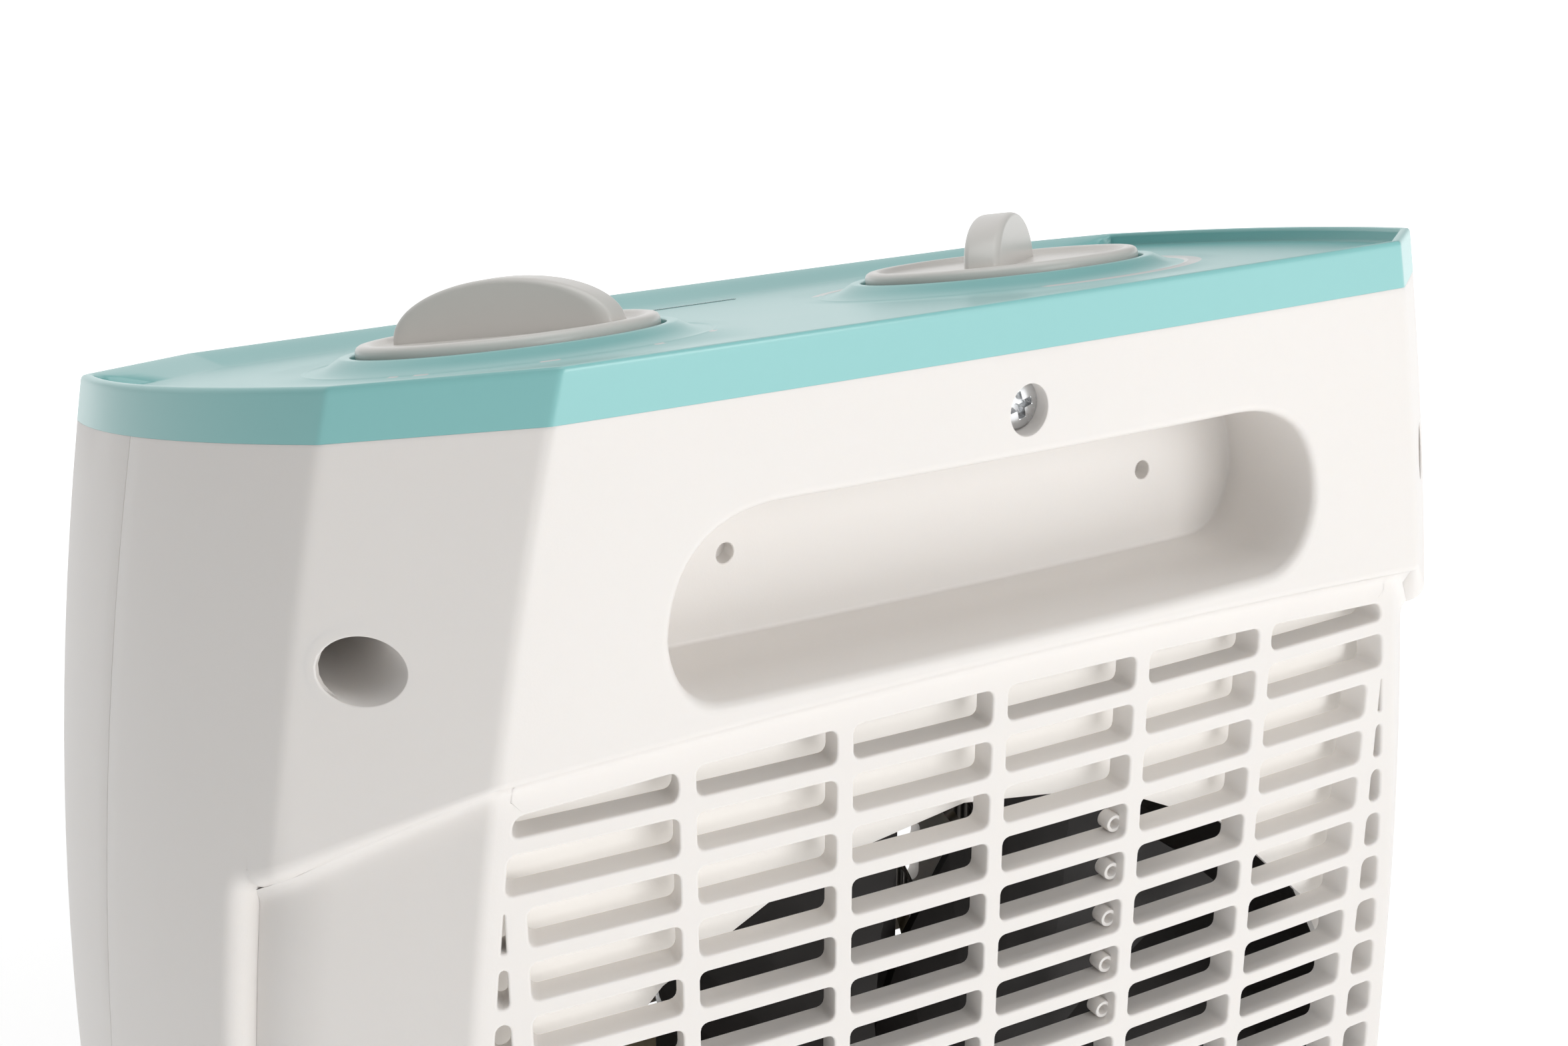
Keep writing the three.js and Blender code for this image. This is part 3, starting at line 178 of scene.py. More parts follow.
class HousingSettings(bpy.types.PropertyGroup):
    """Roundings and walls of the housing."""
    crease: length("Crease", "Half width of the rounding along the upright creases", 0.0012)
    cap_crease: length("Cap crease", "Half width of the rounding along the cap's creases", 0.0005)
    hood: length("Hood edge", "Rounding of the edge above the intake grille", 0.0015)
    wall: length("Wall", "Thickness of the moulded shells", 0.0016)
    handle_rim: length("Handle rim", "Rounding round the handle recess", 0.00158)
    slot_corner: length("Slot corner", "Corner radius of the intake slots", 0.0013)
    slot_edge: length("Slot edge", "Rounding of the slats' front edges", 0.0004)


class KnobSettings(bpy.types.PropertyGroup):
    """Sizes of the two dial knobs."""
    radius: length("Disc radius", "Radius of a knob's disc", 0.0254)
    disc: length("Disc thickness", "Height of a knob's disc", 0.0031)
    lip: length("Lip", "Width of the raised ring round the dish", 0.0024)
    dish: length("Dish", "Depth of the dish inside the lip", 0.0011)
    fin_length: length("Fin length", "Length of the grip fin", 0.042)
    fin_height: length("Fin height", "Height of the grip fin above the disc", 0.0084)
    fin_thick: length("Fin thickness", "Thickness of the grip fin", 0.0067)


class FinishSettings(bpy.types.PropertyGroup):
    """Colours of the mouldings."""
    housing: colour("Housing", "Warm white of the housing", (0.81, 0.78, 0.75))
    cap: colour("Cap", "Pale teal of the cap", (0.25, 0.565, 0.555))
    knob: colour("Knobs", "Warm grey of the knobs", (0.74, 0.715, 0.68))
    inside: colour("Inside", "Dark grey of the fan and its duct", (0.022, 0.019, 0.018))
    ink: colour("Ink", "Printed marks on the cap", (0.62, 0.64, 0.63))


def settings():
    """The scene's settings."""
    return bpy.context.scene.heater_settings


class HeaterSettings(bpy.types.PropertyGroup):
    """All the heater's settings."""
    housing: bpy.props.PointerProperty(type=HousingSettings)
    knobs: bpy.props.PointerProperty(type=KnobSettings)
    finish: bpy.props.PointerProperty(type=FinishSettings)


# ---- housing outline ---------------------------------------------------------------------------

class Outline:
    """The housing seen from above, at its widest height, as a closed loop that starts at the middle
    of the back and runs clockwise. A second loop, with every side moved in by a mitred step, gives
    the direction in which each point moves inwards. Both are averaged over a short stretch, which
    rounds the creases."""

    STEP = 12.0
    SPACING = 0.25

    def __init__(self, crease):
        near = np.array([REAR_CORNER, SIDE_REAR, SIDE_FRONT, FRONT_CORNER])
        far = near[::-1] * (-1, 1)
        corners = np.vstack([near, far])
        bows = np.array([0, BOW["side"], 0, BOW["front"], 0, BOW["side"], 0, BOW["back"]])
        sides = np.roll(corners, -1, axis=0) - corners
        lengths = np.hypot(*sides.T)
        counts = np.round(lengths / self.SPACING / 2).astype(int) * 2
        spread = max(int(round(crease / self.SPACING)), 1)
        outer = self.loop(corners, bows, counts, spread)
        inner = self.loop(self.moved_in(corners, self.STEP), bows, counts, spread)
        middle = counts[:-1].sum() + counts[-1] // 2
        self.outer = np.roll(outer, -middle, axis=0)
        self.inward = (np.roll(inner, -middle, axis=0) - self.outer) / self.STEP
        chord = np.hypot(*(np.roll(self.outer, -1, axis=0) - self.outer).T)
        self.u = np.concatenate([[0], np.cumsum(chord)[:-1]])
        self.length = chord.sum()
        starts = (np.concatenate([[0], np.cumsum(counts)[:-1]]) - middle) % counts.sum()
        self.corner = dict(zip(("rear", "side_rear", "side_front", "front"), self.u[starts[:4]]))

    @staticmethod
    def moved_in(corners, step):
        """Corners of the polygon whose sides are all moved inwards by a step (clockwise loop)."""
        before = corners - np.roll(corners, 1, axis=0)
        after = np.roll(corners, -1, axis=0) - corners
        normal = [np.stack([v[:, 1], -v[:, 0]], 1) / np.hypot(*v.T)[:, None]
                  for v in (before, after)]
        mean = normal[0] + normal[1]
        mean /= np.hypot(*mean.T)[:, None]
        return corners + mean * (step / (mean * normal[0]).sum(1))[:, None]

    @staticmethod
    def loop(corners, bows, counts, spread):
        """Points along every side, standing out by a parabola of the side's bow, then averaged."""
        parts = []
        for a, b, bow, count in zip(corners, np.roll(corners, -1, axis=0), bows, counts):
            t = (np.arange(count) / count)[:, None]
            out = np.array([-(b - a)[1], (b - a)[0]]) / np.hypot(*(b - a))
            parts.append(a + (b - a) * t + out * 4 * bow * t * (1 - t))
        points = np.vstack(parts)
        kernel = np.ones(2 * spread + 1) / (2 * spread + 1)
        wrapped = np.vstack([points[-spread:], points, points[:spread]])
        return np.stack([np.convolve(wrapped[:, k], kernel, "valid") for k in (0, 1)], 1)

    def plan(self, u, inset=0.0):
        """X and Y of the outline at u, moved in by inset."""
        ring = [np.interp(u, self.u, c, period=self.length)
                for c in (*self.outer.T, *self.inward.T)]
        return ring[0] + ring[2] * inset, ring[1] + ring[3] * inset

    def at_y(self, y):
        """Distance along the +X half of the loop at which it reaches y."""
        half = self.u <= self.length / 2
        return np.interp(-np.asarray(y), -self.outer[half, 1], self.u[half])

    def at_x(self, x, z):
        """Distance along the back at which the wall at height z reaches x."""
        back = self.u <= self.corner["side_rear"]
        widened = np.abs(x) * REAR_CORNER[0] / (REAR_CORNER[0] - draw_in(z))
        return np.sign(x) * np.interp(widened, self.outer[back, 0], self.u[back])


def draw_in(z):
    """How far the sides draw in at a height: a parabola about the widest height."""
    return BULGE_RATE * (z - BULGE_HEIGHT) ** 2


def wall(outline, u, z, inset=0.0):
    """The housing's surface: the outline's point at u, moved in by inset, and pulled towards the
    middle by the barrel's parabola of height, in proportion to its distance from the middle."""
    u, z, inset = np.broadcast_arrays(u, z, inset)
    x, y = outline.plan(u, inset)
    x = x - np.sign(x) * draw_in(z) * np.minimum(1, np.abs(x) / REAR_CORNER[0])
    return np.stack([x, y, z + 0.0 * x], -1)


def cap_joint(outline, u, gap=0.02):
    """Height of the shells' top edge at u, below the cap's side band."""
    return RIM_HEIGHT + CAP_SLOPE * outline.plan(u)[1] - CAP_BAND - gap


def step_edge(outline, u):
    """Height of the hood's edge at u: an arch over the back, then a line falling across the
    chamfer to the shoulder on the side."""
    a = np.abs(u)
    corner = outline.corner["rear"]
    end = outline.at_y(GRILLE_SIDE_Y)
    arch = STEP_TOP - STEP_ARCH * np.minimum(a / corner, 1) ** 2
    fall = np.clip((a - corner) / (end - corner), 0, 1)
    return arch - fall * (STEP_TOP - STEP_ARCH - SHOULDER)


# ---- mesh making -------------------------------------------------------------------------------

def grid_faces(rows, columns):
    """Quads of a grid of points numbered row by row."""
    index = np.arange(rows * columns).reshape(rows, columns)
    quads = [index[:-1, :-1], index[:-1, 1:], index[1:, 1:], index[1:, :-1]]
    return np.stack(quads, -1).reshape(-1, 4)


def piece(name, grids, finish, body, node=None, wall_mm=0.0, sharp=40.0, bevel_mm=0.0):
    """One object from grids of points in millimetres: coinciding points are merged, faces are
    turned outwards, a wall gets its thickness and open edges a small bevel."""
    points, faces, start = [], [], 0
    for grid in grids:
        grid = np.asarray(grid, float)
        points.append(grid.reshape(-1, 3))
        faces.append(grid_faces(*grid.shape[:2]) + start)
        start += grid.shape[0] * grid.shape[1]
    mesh = bpy.data.meshes.new(name)
    mesh.from_pydata(np.vstack(points) * MM, [], np.vstack(faces).tolist())
    work = bmesh.new()
    work.from_mesh(mesh)
    bmesh.ops.remove_doubles(work, verts=work.verts, dist=0.012 * MM)
    bmesh.ops.dissolve_degenerate(work, edges=work.edges, dist=0.004 * MM)
    bmesh.ops.recalc_face_normals(work, faces=work.faces)
    work.to_mesh(mesh)
    work.free()
    thing = bpy.data.objects.new(name, mesh)
    bpy.context.scene.collection.objects.link(thing)
    if wall_mm:
        solid = thing.modifiers.new("wall", "SOLIDIFY")
        solid.thickness = wall_mm * MM
        solid.offset = -1.0
    if bevel_mm:
        bevel = thing.modifiers.new("edges", "BEVEL")
        bevel.width = bevel_mm * MM
        bevel.segments = 2
        bevel.angle_limit = math.radians(60)
    if wall_mm or bevel_mm:
        graph = bpy.context.evaluated_depsgraph_get()
        thing.data = bpy.data.meshes.new_from_object(thing.evaluated_get(graph))
        thing.modifiers.clear()
        thing.data.name = name
    thing.data.materials.clear()
    thing.data.materials.append(finish)
    thing.data.shade_smooth()
    thing.data.set_sharp_from_angle(angle=math.radians(sharp))
    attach(thing, body)
    if node:
        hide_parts(*([node] if isinstance(node, str) else node))
    return thing


def pairs(a, b):
    """Points from two rows of coordinates, or from a row and a value that they all share."""
    return np.stack(np.broadcast_arrays(a, b), -1)


def by_angle(loop, centre):
    """A loop's points in the order of their directions from a centre."""
    away = loop - centre
    return loop[np.argsort(np.arctan2(away[:, 1], away[:, 0]))]


def loop_normals(loop):
    """Unit vectors that point out of an anticlockwise loop in the plane."""
    along = np.roll(loop, -1, axis=0) - np.roll(loop, 1, axis=0)
    out = pairs(along[:, 1], -along[:, 0])
    return out / np.maximum(np.hypot(*out.T), 1e-9)[:, None]


def fillet(radius, depth, steps=4):
    """Rounded edge of a hole as (outward offset, depth) pairs: a quarter circle, then the wall."""
    angle = np.linspace(0, math.pi / 2, steps)
    pairs = [(radius * 1.1 + 0.02, 0.0)]
    pairs += [(radius * (1 - math.sin(a)), radius * (1 - math.cos(a))) for a in angle]
    return pairs + [(0.0, depth)]


def floor_fillet(radius, depth, steps=3):
    """Hollow corner at the foot of a recess, as (outward offset, depth) pairs."""
    angle = np.linspace(0, math.pi / 2, steps)
    return [(-radius * (1 - math.cos(a)), depth - radius * (1 - math.sin(a))) for a in angle]


def ring_patch(boundary, hole, profile, between=2):
    """Rows of (u, v, depth) from a boundary loop in to a hole's loop and down along a profile of
    (outward offset, depth) pairs. The loops have as many points and start at the same side."""
    out = loop_normals(hole)
    first = hole + out * profile[0][0]
    rows = [np.column_stack([boundary + (first - boundary) * t, np.zeros(len(hole))])
            for t in np.linspace(0, 1, between + 1)[:-1]]
    rows += [np.column_stack([hole + out * off, np.full(len(hole), depth)])
             for off, depth in profile]
    rows = np.array(rows)
    return np.concatenate([rows, rows[:, :1]], axis=1)


def closed_floor(row, steps=3):
    """Rows that shrink the last row of a recess to its middle."""
    middle = row[:-1].mean(axis=0)
    return np.array([middle + (row - middle) * s for s in np.linspace(1, 0, steps + 1)])


def aimed_at(boundary, centre, half, outline=None):
    """Points of a hole's outline in the directions of the boundary's points, as seen from the
    centre after each axis is divided by the hole's half size. Without an outline the hole is an
    ellipse; otherwise the outline's distance from the centre is looked up by direction."""
    away = (boundary - centre) / half
    angle = np.arctan2(away[:, 1], away[:, 0])
    reach = np.ones(len(angle))
    if outline is not None:
        seen = (outline - centre) / half
        bearing = np.arctan2(seen[:, 1], seen[:, 0])
        order = np.argsort(bearing)
        reach = np.interp(angle, bearing[order], np.hypot(*seen[order].T), period=2 * math.pi)
    return centre + pairs(np.cos(angle), np.sin(angle)) * reach[:, None] * half


def box_loop(us, low, high, rows):
    """Anticlockwise loop round a patch: along the bottom, up, back along the top and down. The
    bottom and top heights may differ at each u; rows are fractions of the height."""
    low = np.broadcast_to(low, us.shape)
    high = np.broadcast_to(high, us.shape)
    left, right = (pairs(us[k], low[k] + (high[k] - low[k]) * rows) for k in (0, -1))
    return np.vstack([pairs(us, low)[:-1], right[:-1], pairs(us, high)[:0:-1], left[:0:-1]])


def sheet(outline, us, low, high, rows):
    """A plain stretch of the housing's surface between two heights."""
    low = np.broadcast_to(low, us.shape)
    high = np.broadcast_to(high, us.shape)
    z = low + (high - low) * rows[:, None]
    return wall(outline, us[None, :], z)


def joined(*parts):
    """One rising array from stretches that share their end values."""
    return np.concatenate([parts[0], *[p[1:] for p in parts[1:]]])


def stretches(stops, counts):
    """Rising places between the first and the last stop, as many in each stretch as counts says,
    with a short stretch of its own across each stop in between."""
    ends = [stops[0]]
    for stop in stops[1:-1]:
        ends += [stop - CREASE_ROWS, stop + CREASE_ROWS]
    ends.append(stops[-1])
    return joined(*[np.linspace(a, b, count) for a, b, count in zip(ends, ends[1:], counts)])


def divided(stops, fractions):
    """Every stretch between stops split at the same fractions."""
    parts = [a + (b - a) * fractions[:-1] for a, b in zip(stops, stops[1:])]
    return np.concatenate([*parts, [stops[-1]]])


# ---- rear shell --------------------------------------------------------------------------------

def handle_outline():
    """The handle recess: straight above and below, each end two quadratic curves that meet at the
    widest place."""
    middle = HANDLE_BOTTOM + (HANDLE_TOP - HANDLE_BOTTOM) * 0.37
    wide, top, bottom = HANDLE_HALF["wide"], HANDLE_HALF["top"], HANDLE_HALF["bottom"]
    t = np.linspace(0, 1, 60)[:, None]

    def curve(a, b, c):
        return (1 - t) ** 2 * np.array(a) + 2 * t * (1 - t) * np.array(b) + t ** 2 * np.array(c)

    right = np.vstack([
        curve((0, HANDLE_BOTTOM), (bottom / 2, HANDLE_BOTTOM), (bottom, HANDLE_BOTTOM)),
        curve((bottom, HANDLE_BOTTOM), (wide - 1, HANDLE_BOTTOM), (wide, middle)),
        curve((wide, middle), (wide - 1, HANDLE_TOP), (top, HANDLE_TOP)),
        curve((top, HANDLE_TOP), (top / 2, HANDLE_TOP), (0, HANDLE_TOP)),
    ])
    return np.vstack([right, (right * (-1, 1))[::-1]])


def handle_recess(outline, us, low, high, rows, rim):
    """The recess in the back: rim, walls and a back wall with a small round hole on each side."""
    boundary = box_loop(us, low, high, rows)
    centre = np.array([0.0, (HANDLE_BOTTOM + HANDLE_TOP) / 2])
    half = np.array([HANDLE_HALF["wide"], (HANDLE_TOP - HANDLE_BOTTOM) / 2])
    shape = handle_outline()
    shape[:, 0] = outline.at_x(*shape.T)
    hole = aimed_at(boundary, centre, half, shape)
    profile = fillet(rim, 8.0, 6) + [(0.0, 14.0)] + floor_fillet(0.6, HANDLE_DEPTH, 4)
    patch = ring_patch(boundary, hole, profile, 2)

    def straight_in(rows):
        points = wall(outline, rows[..., 0], rows[..., 1])
        points[..., 1] -= rows[..., 2]
        return points

    grids = [straight_in(patch)]
    foot = patch[-1, :-1]
    for side in (1, -1):
        half_loop = foot[foot[:, 0] * side > -0.01]
        ends = half_loop[np.abs(half_loop[:, 0]) < 0.01]
        z = np.linspace(ends[:, 1].min(), ends[:, 1].max(), 9)[1:-1]
        middle = np.column_stack([np.zeros(7), z, np.full(7, foot[0, 2])])
        loop = np.vstack([half_loop, middle])
        spot = np.array([side * FLOW_HOLE["x"] * 1.15, FLOW_HOLE["z"]])
        loop = by_angle(loop[:, :2], spot)
        ring = aimed_at(loop, spot, np.full(2, FLOW_HOLE["radius"]))
        cup = ring_patch(loop, ring, fillet(0.15, FLOW_HOLE["depth"], 2), 4)
        cup = np.concatenate([cup, closed_floor(cup[-1])])
        cup[..., 2] += HANDLE_DEPTH
        grids.append(straight_in(cup))
    return grids


def sunk_bore(outline, boundary, centre, half, edge, seat_y):
    """A round bore along Y from the surface to a seat: the hole's rows slide from their own
    places on the surface to the seat's plane."""
    hole = aimed_at(boundary, centre, half)
    patch = ring_patch(boundary, hole, fillet(edge, edge, 3)[:-1] + [(0.0, edge)], 3)
    skin = wall(outline, patch[..., 0], patch[..., 1], patch[..., 2])
    mouth = skin[-1]
    drop = np.linspace(0, 1, 7)[:, None]
    tube = np.repeat(mouth[None], 7, axis=0)
    tube[..., 1] = mouth[:, 1] + (seat_y - mouth[:, 1]) * drop
    return [skin, tube, closed_floor(tube[-1])]


def rear_shell(outline, size):
    """The rear half of the housing: rows of patches above the hood, and one wide patch from the
    hood's edge out to the parting line and the bottom."""
    corner = outline.corner
    shoulder_u = float(outline.at_y(GRILLE_SIDE_Y))
    end = float(outline.at_y(PARTING_Y + GAP))
    rear_ends = corner["rear"] - CREASE_ROWS, corner["rear"] + CREASE_ROWS
    side_ends = corner["side_rear"] - CREASE_ROWS, corner["side_rear"] + CREASE_ROWS
    by_screw = np.linspace(0, SCREW_PATCH, 9)
    by_handle = np.linspace(SCREW_PATCH, HANDLE_PATCH, 19)
    by_bore = np.linspace(rear_ends[1], side_ends[0], 17)
    flank = joined(np.linspace(*side_ends, 8),
                   np.linspace(side_ends[1], shoulder_u - SHOULDER_TURN, 3))
    turning = np.linspace(shoulder_u - SHOULDER_TURN, end, 10)
    rows = np.linspace(0, 1, 17)
    low = STEP_TOP + ABOVE_HOOD
    beside = joined(np.linspace(HANDLE_PATCH, rear_ends[0], 5), np.linspace(*rear_ends, 11))
    beyond = joined(flank, turning)

    def top(u):
        return cap_joint(outline, u)

    def middle(u):
        return np.minimum(HANDLE_TOP + ABOVE_HANDLE, top(u) - 8)

    grids = []
    wide = joined(by_screw, by_handle)
    both = np.concatenate([-wide[:0:-1], wide])
    grids += handle_recess(outline, both, low, middle(both), rows, size.handle_rim / MM)
    near = np.concatenate([-by_screw[:0:-1], by_screw])
    loop = box_loop(near, middle(near), top(near), rows)
    centre = np.array([0.0, TOP_BORE["z"]])
    radius = np.full(2, TOP_BORE["radius"])
    grids += sunk_bore(outline, loop, centre, radius, 0.25, HALF_DEPTH - TOP_BORE["depth"])
    for side in (1, -1):
        for us in (by_handle, beside, beyond, by_bore):
            grids.append(sheet(outline, side * us, middle(us), top(us), rows))
        for us in (beside, beyond):
            grids.append(sheet(outline, side * us, low, middle(us), rows))
        cell = np.sort(side * by_bore)
        loop = box_loop(cell, low, middle(cell), rows)
        stretch = (corner["side_rear"] - corner["rear"]) / (SIDE_REAR[0] - REAR_CORNER[0])
        across = CASE_BORE["x"] + draw_in(CASE_BORE["z"]) - REAR_CORNER[0]
        centre = np.array([side * (corner["rear"] + across * stretch), CASE_BORE["z"]])
        half = CASE_BORE["radius"] * np.array([stretch, 1.0])
        grids += sunk_bore(outline, loop, centre, half, 0.2, CASE_SEAT_Y)
        above = joined(wide, beside, by_bore, flank)
        grids.append(hood_band(outline, side, above, turning, low, size.hood / MM))
    return grids


def hood_band(outline, side, above, turning, low, hood):
    """The shell between the hood's edge and its own outer edges, on one side. The edge's loop runs
    over the arch, round the shoulder, down and back along the bottom; each of its points is
    joined to one on the loop of the outer edges, and the edge rolls in over a quarter circle that
    grows towards the shoulder."""
    corner_u, shoulder_u = outline.corner["rear"], float(outline.at_y(GRILLE_SIDE_Y))
    before = shoulder_u - SHOULDER_TURN
    start = float(step_edge(outline, before))
    head, foot = start - SHOULDER_TURN, GRILLE_BOTTOM + SHOULDER_TURN
    over = np.linspace(0, math.pi / 2, len(turning))
    under = np.linspace(0, math.pi / 2, 6)
    down = np.linspace(0, 1, 25)
    end = turning[-1]
    below = 8.0
    edge = joined(
        pairs(above, step_edge(outline, above)),
        pairs(before + SHOULDER_TURN * np.sin(over), start - SHOULDER_TURN * (1 - np.cos(over))),
        pairs(shoulder_u, head + (foot - head) * down),
        pairs(shoulder_u - SHOULDER_TURN * (1 - np.cos(under)),
              GRILLE_BOTTOM + SHOULDER_TURN * (1 - np.sin(under))),
        pairs(np.linspace(before, 0, 30), GRILLE_BOTTOM),
    )
    outer = joined(
        pairs(above, low),
        pairs(turning, low),
        pairs(end, low + (FOOT_HEIGHT + below - low) * down),
        pairs(end, FOOT_HEIGHT + below * (1 - np.linspace(0, 1, 6))),
        pairs(np.linspace(end, 0, 30), FOOT_HEIGHT),
    )
    along = np.gradient(edge, axis=0)
    out = pairs(-along[:, 1], along[:, 0])
    out /= np.hypot(*out.T)[:, None]
    out[0] = (0, 1)
    out[-1] = (0, -1)
    swell = 1 + 1.3 * np.clip((edge[:, :1] - corner_u) / (shoulder_u - corner_u), 0, 1)
    profile = fillet(hood, GRILLE_INSET + 1.6, 6)
    first = edge + out * profile[0][0] * swell
    rows = [np.column_stack([outer + (first - outer) * t, np.zeros(len(edge))])
            for t in np.linspace(0, 1, 9)[:-1]]
    rows += [np.hstack([edge + out * off * swell, depth * swell]) for off, depth in profile[:-1]]
    rows += [np.column_stack([edge, np.full(len(edge), profile[-1][1])])]
    rows = np.array(rows)
    return wall(outline, side * rows[..., 0], rows[..., 1], rows[..., 2])


# ---- slotted panels ----------------------------------------------------------------------------

def spaced(count, size, radius):
    """Distances along one side of a slot, close together in its rounded corners."""
    ends = np.array([0, 0.5, 1]) * radius
    middle = np.linspace(radius, size - radius, count - 4)[1:-1]
    return np.concatenate([ends, middle, size - ends[::-1]])


def slot_loop(quad, across, up, radius):
    """A slot's outline with rounded corners, anticlockwise. The slot is drawn as a rectangle whose
    corner points are pushed onto quarter circles, and then bent to the quad's four corners."""
    (x00, z0), (x10, _), (x11, z1r), (x01, z1) = quad
    width = max((x10 - x00 + x11 - x01) / 2, 0.05)
    height = max(min(z1, z1r) - z0, 0.05)
    radius = min(radius, width * 0.49, height * 0.49)
    s, t = spaced(across, width, radius), spaced(up, height, radius)
    loop = box_loop(s, 0.0, height, t / height)
    core = np.clip(loop, radius, np.array([width, height]) - radius)
    away = loop - core
    loop = core + away * (radius / np.maximum(np.hypot(*away.T), radius))[:, None]
    fx, fz = loop[:, 0] / width, loop[:, 1] / height
    x = (x00 + (x10 - x00) * fx) * (1 - fz) + (x01 + (x11 - x01) * fx) * fz
    z = z0 + ((z1 - z0) * (1 - fx) + (z1r - z0) * fx) * fz
    return pairs(x, z)


FRACTIONS = np.array([0, 0.035, 0.075, 0.5, 0.925, 0.965, 1])
UPRIGHTS = np.array([0, 0.15, 0.3, 0.7, 0.85, 1])


def slot_cell(place, boundary, hole, edge, back):
    """One opening of a slotted panel with the strip round it: the front, a rounded edge, the
    opening's walls and the panel's back. place turns (x, z, depth) into points."""
    rows = ring_patch(boundary, hole, fillet(edge, edge + 0.4, 4), 1)
    front = place(rows[..., 0], rows[..., 1], rows[..., 2])
    rear = np.array([rows[-1], rows[0]])
    behind = back(rear[..., 0], rear[..., 1])
    return [front, np.stack([front[-1], behind[0]]), behind]


def mirrored(grids):
    """The same grids on the other side of the middle plane."""
    return [grid * (-1, 1, 1) for grid in grids]


def intake_grille(outline, size):
    """The slotted back panel: a grid of rounded slots on the barrel surface, behind the housing by
    a step, with a hollow rise towards the hood's edge and plain chamfers."""
    corner = outline.corner["rear"]
    shoulder_u = float(outline.at_y(GRILLE_SIDE_Y)) - GRILLE_GAP
    edge_x = REAR_CORNER[0] - CREASE_ROWS - OUTER_MARGIN
    limit_x = edge_x + 0.75
    span = shoulder_u - corner

    def rim_inset(u, z):
        distance = step_edge(outline, u) - GRILLE_GAP - z
        rise = 3.0 - 2.0 * np.clip((np.abs(u) - corner) / span * 3, 0, 1)
        return GRILLE_INSET - rise * np.clip(1 - distance / 3.0, 0, 1) ** 2

    def seat(u, z, depth=0.0):
        return wall(outline, u, z, rim_inset(u, z) + depth)

    def seat_back(u, z):
        return wall(outline, u, z, GRILLE_INSET + GRILLE_THICK)

    def place(x, z, depth):
        return seat(outline.at_x(x, z), z, depth)

    def back(x, z):
        return seat_back(outline.at_x(x, z), z)

    def limit(z):
        return limit_x - draw_in(z)

    def top(x, z, margin=GRILLE_GAP + EDGE_ZONE):
        return step_edge(outline, outline.at_x(x, z)) - margin

    half = RIB_WIDTH / 2
    starts = [place_x + half for place_x in RIB_PITCH]
    ends = (RIB_PITCH[1] - half, RIB_PITCH[2] - half, COLUMN_END)
    bounds = [*RIB_PITCH, (COLUMN_END + OUTER_START) / 2]
    levels = []
    grids = []
    slat = (ROW_PITCH - ROW_OPEN) / 2
    for row in range(ROW_COUNT - 1, -1, -1):
        z = ROW_TOP - ROW_PITCH * row
        z1 = z + ROW_OPEN
        low, high = z - slat, z1 + slat
        split = edge_x - draw_in(z) > OUTER_START and edge_x - draw_in(z1) > OUTER_START - 0.2
        cells = [(a, b, c, c, d, d) for a, b, c, d in zip(bounds, bounds[1:], starts, ends)]
        outer = (bounds[3], None, OUTER_START, OUTER_START,
                 edge_x - draw_in(z), edge_x - draw_in(z1))
        if split:
            cells.append(outer)
        else:
            cells[2] = (bounds[2], None, starts[2], starts[2], outer[4], outer[5])
        for left, right, x00, x01, x10, x11 in cells:
            long = right is None and not split
            small = right is None and split
            ease = 0 if small else SLOT_EASE["across"]
            x00, x01, x10, x11 = x00 - ease, x01 - ease, x10 + ease, x11 + ease
            heads = [z1 + SLOT_EASE["up"]] * 2
            if row == 0:
                heads = [min(heads[0], top(x, z1, ARCH_MARGIN)) for x in (x01, x11)]
            foot = z - SLOT_EASE["up"]
            quad = [(x00, foot), (x10, foot), (x11, heads[1]), (x01, heads[0])]
            hole = slot_loop(quad, 13 if long else 7, 6, size.slot_corner / MM)
            boundary = cell_loop(left, right, low, high, long, bounds[3], limit,
                                 top if row == 0 else None)
            edge = min(size.slot_edge / MM, 0.45 if small else 9.0)
            made = slot_cell(place, boundary, hole, edge, back)
            grids += made + mirrored(made)
        levels.append((low, high))
    return grids + border_strips(outline, seat, seat_back, levels, limit, bounds, shoulder_u)


def cell_loop(left, right, low, high, long, split_x, limit, top):
    """Loop round a slot's cell. The outer cells end on the line of the back's corner."""
    def columns(z):
        end = limit(z) if right is None else right
        return divided([left, split_x, end] if long else [left, end], FRACTIONS)

    bottom, head = columns(low), columns(high)
    heads = top(head, high) if top else np.full(len(head), high)

    def upright(k):
        x = bottom[k] + (head[k] - bottom[k]) * UPRIGHTS
        z = low + (heads[k] - low) * UPRIGHTS
        if right is None and k == -1:
            x = limit(z)
        return pairs(x, z)

    return np.vstack([pairs(bottom, low)[:-1], upright(-1)[:-1], pairs(head, heads)[:0:-1],
                      upright(0)[:0:-1]])


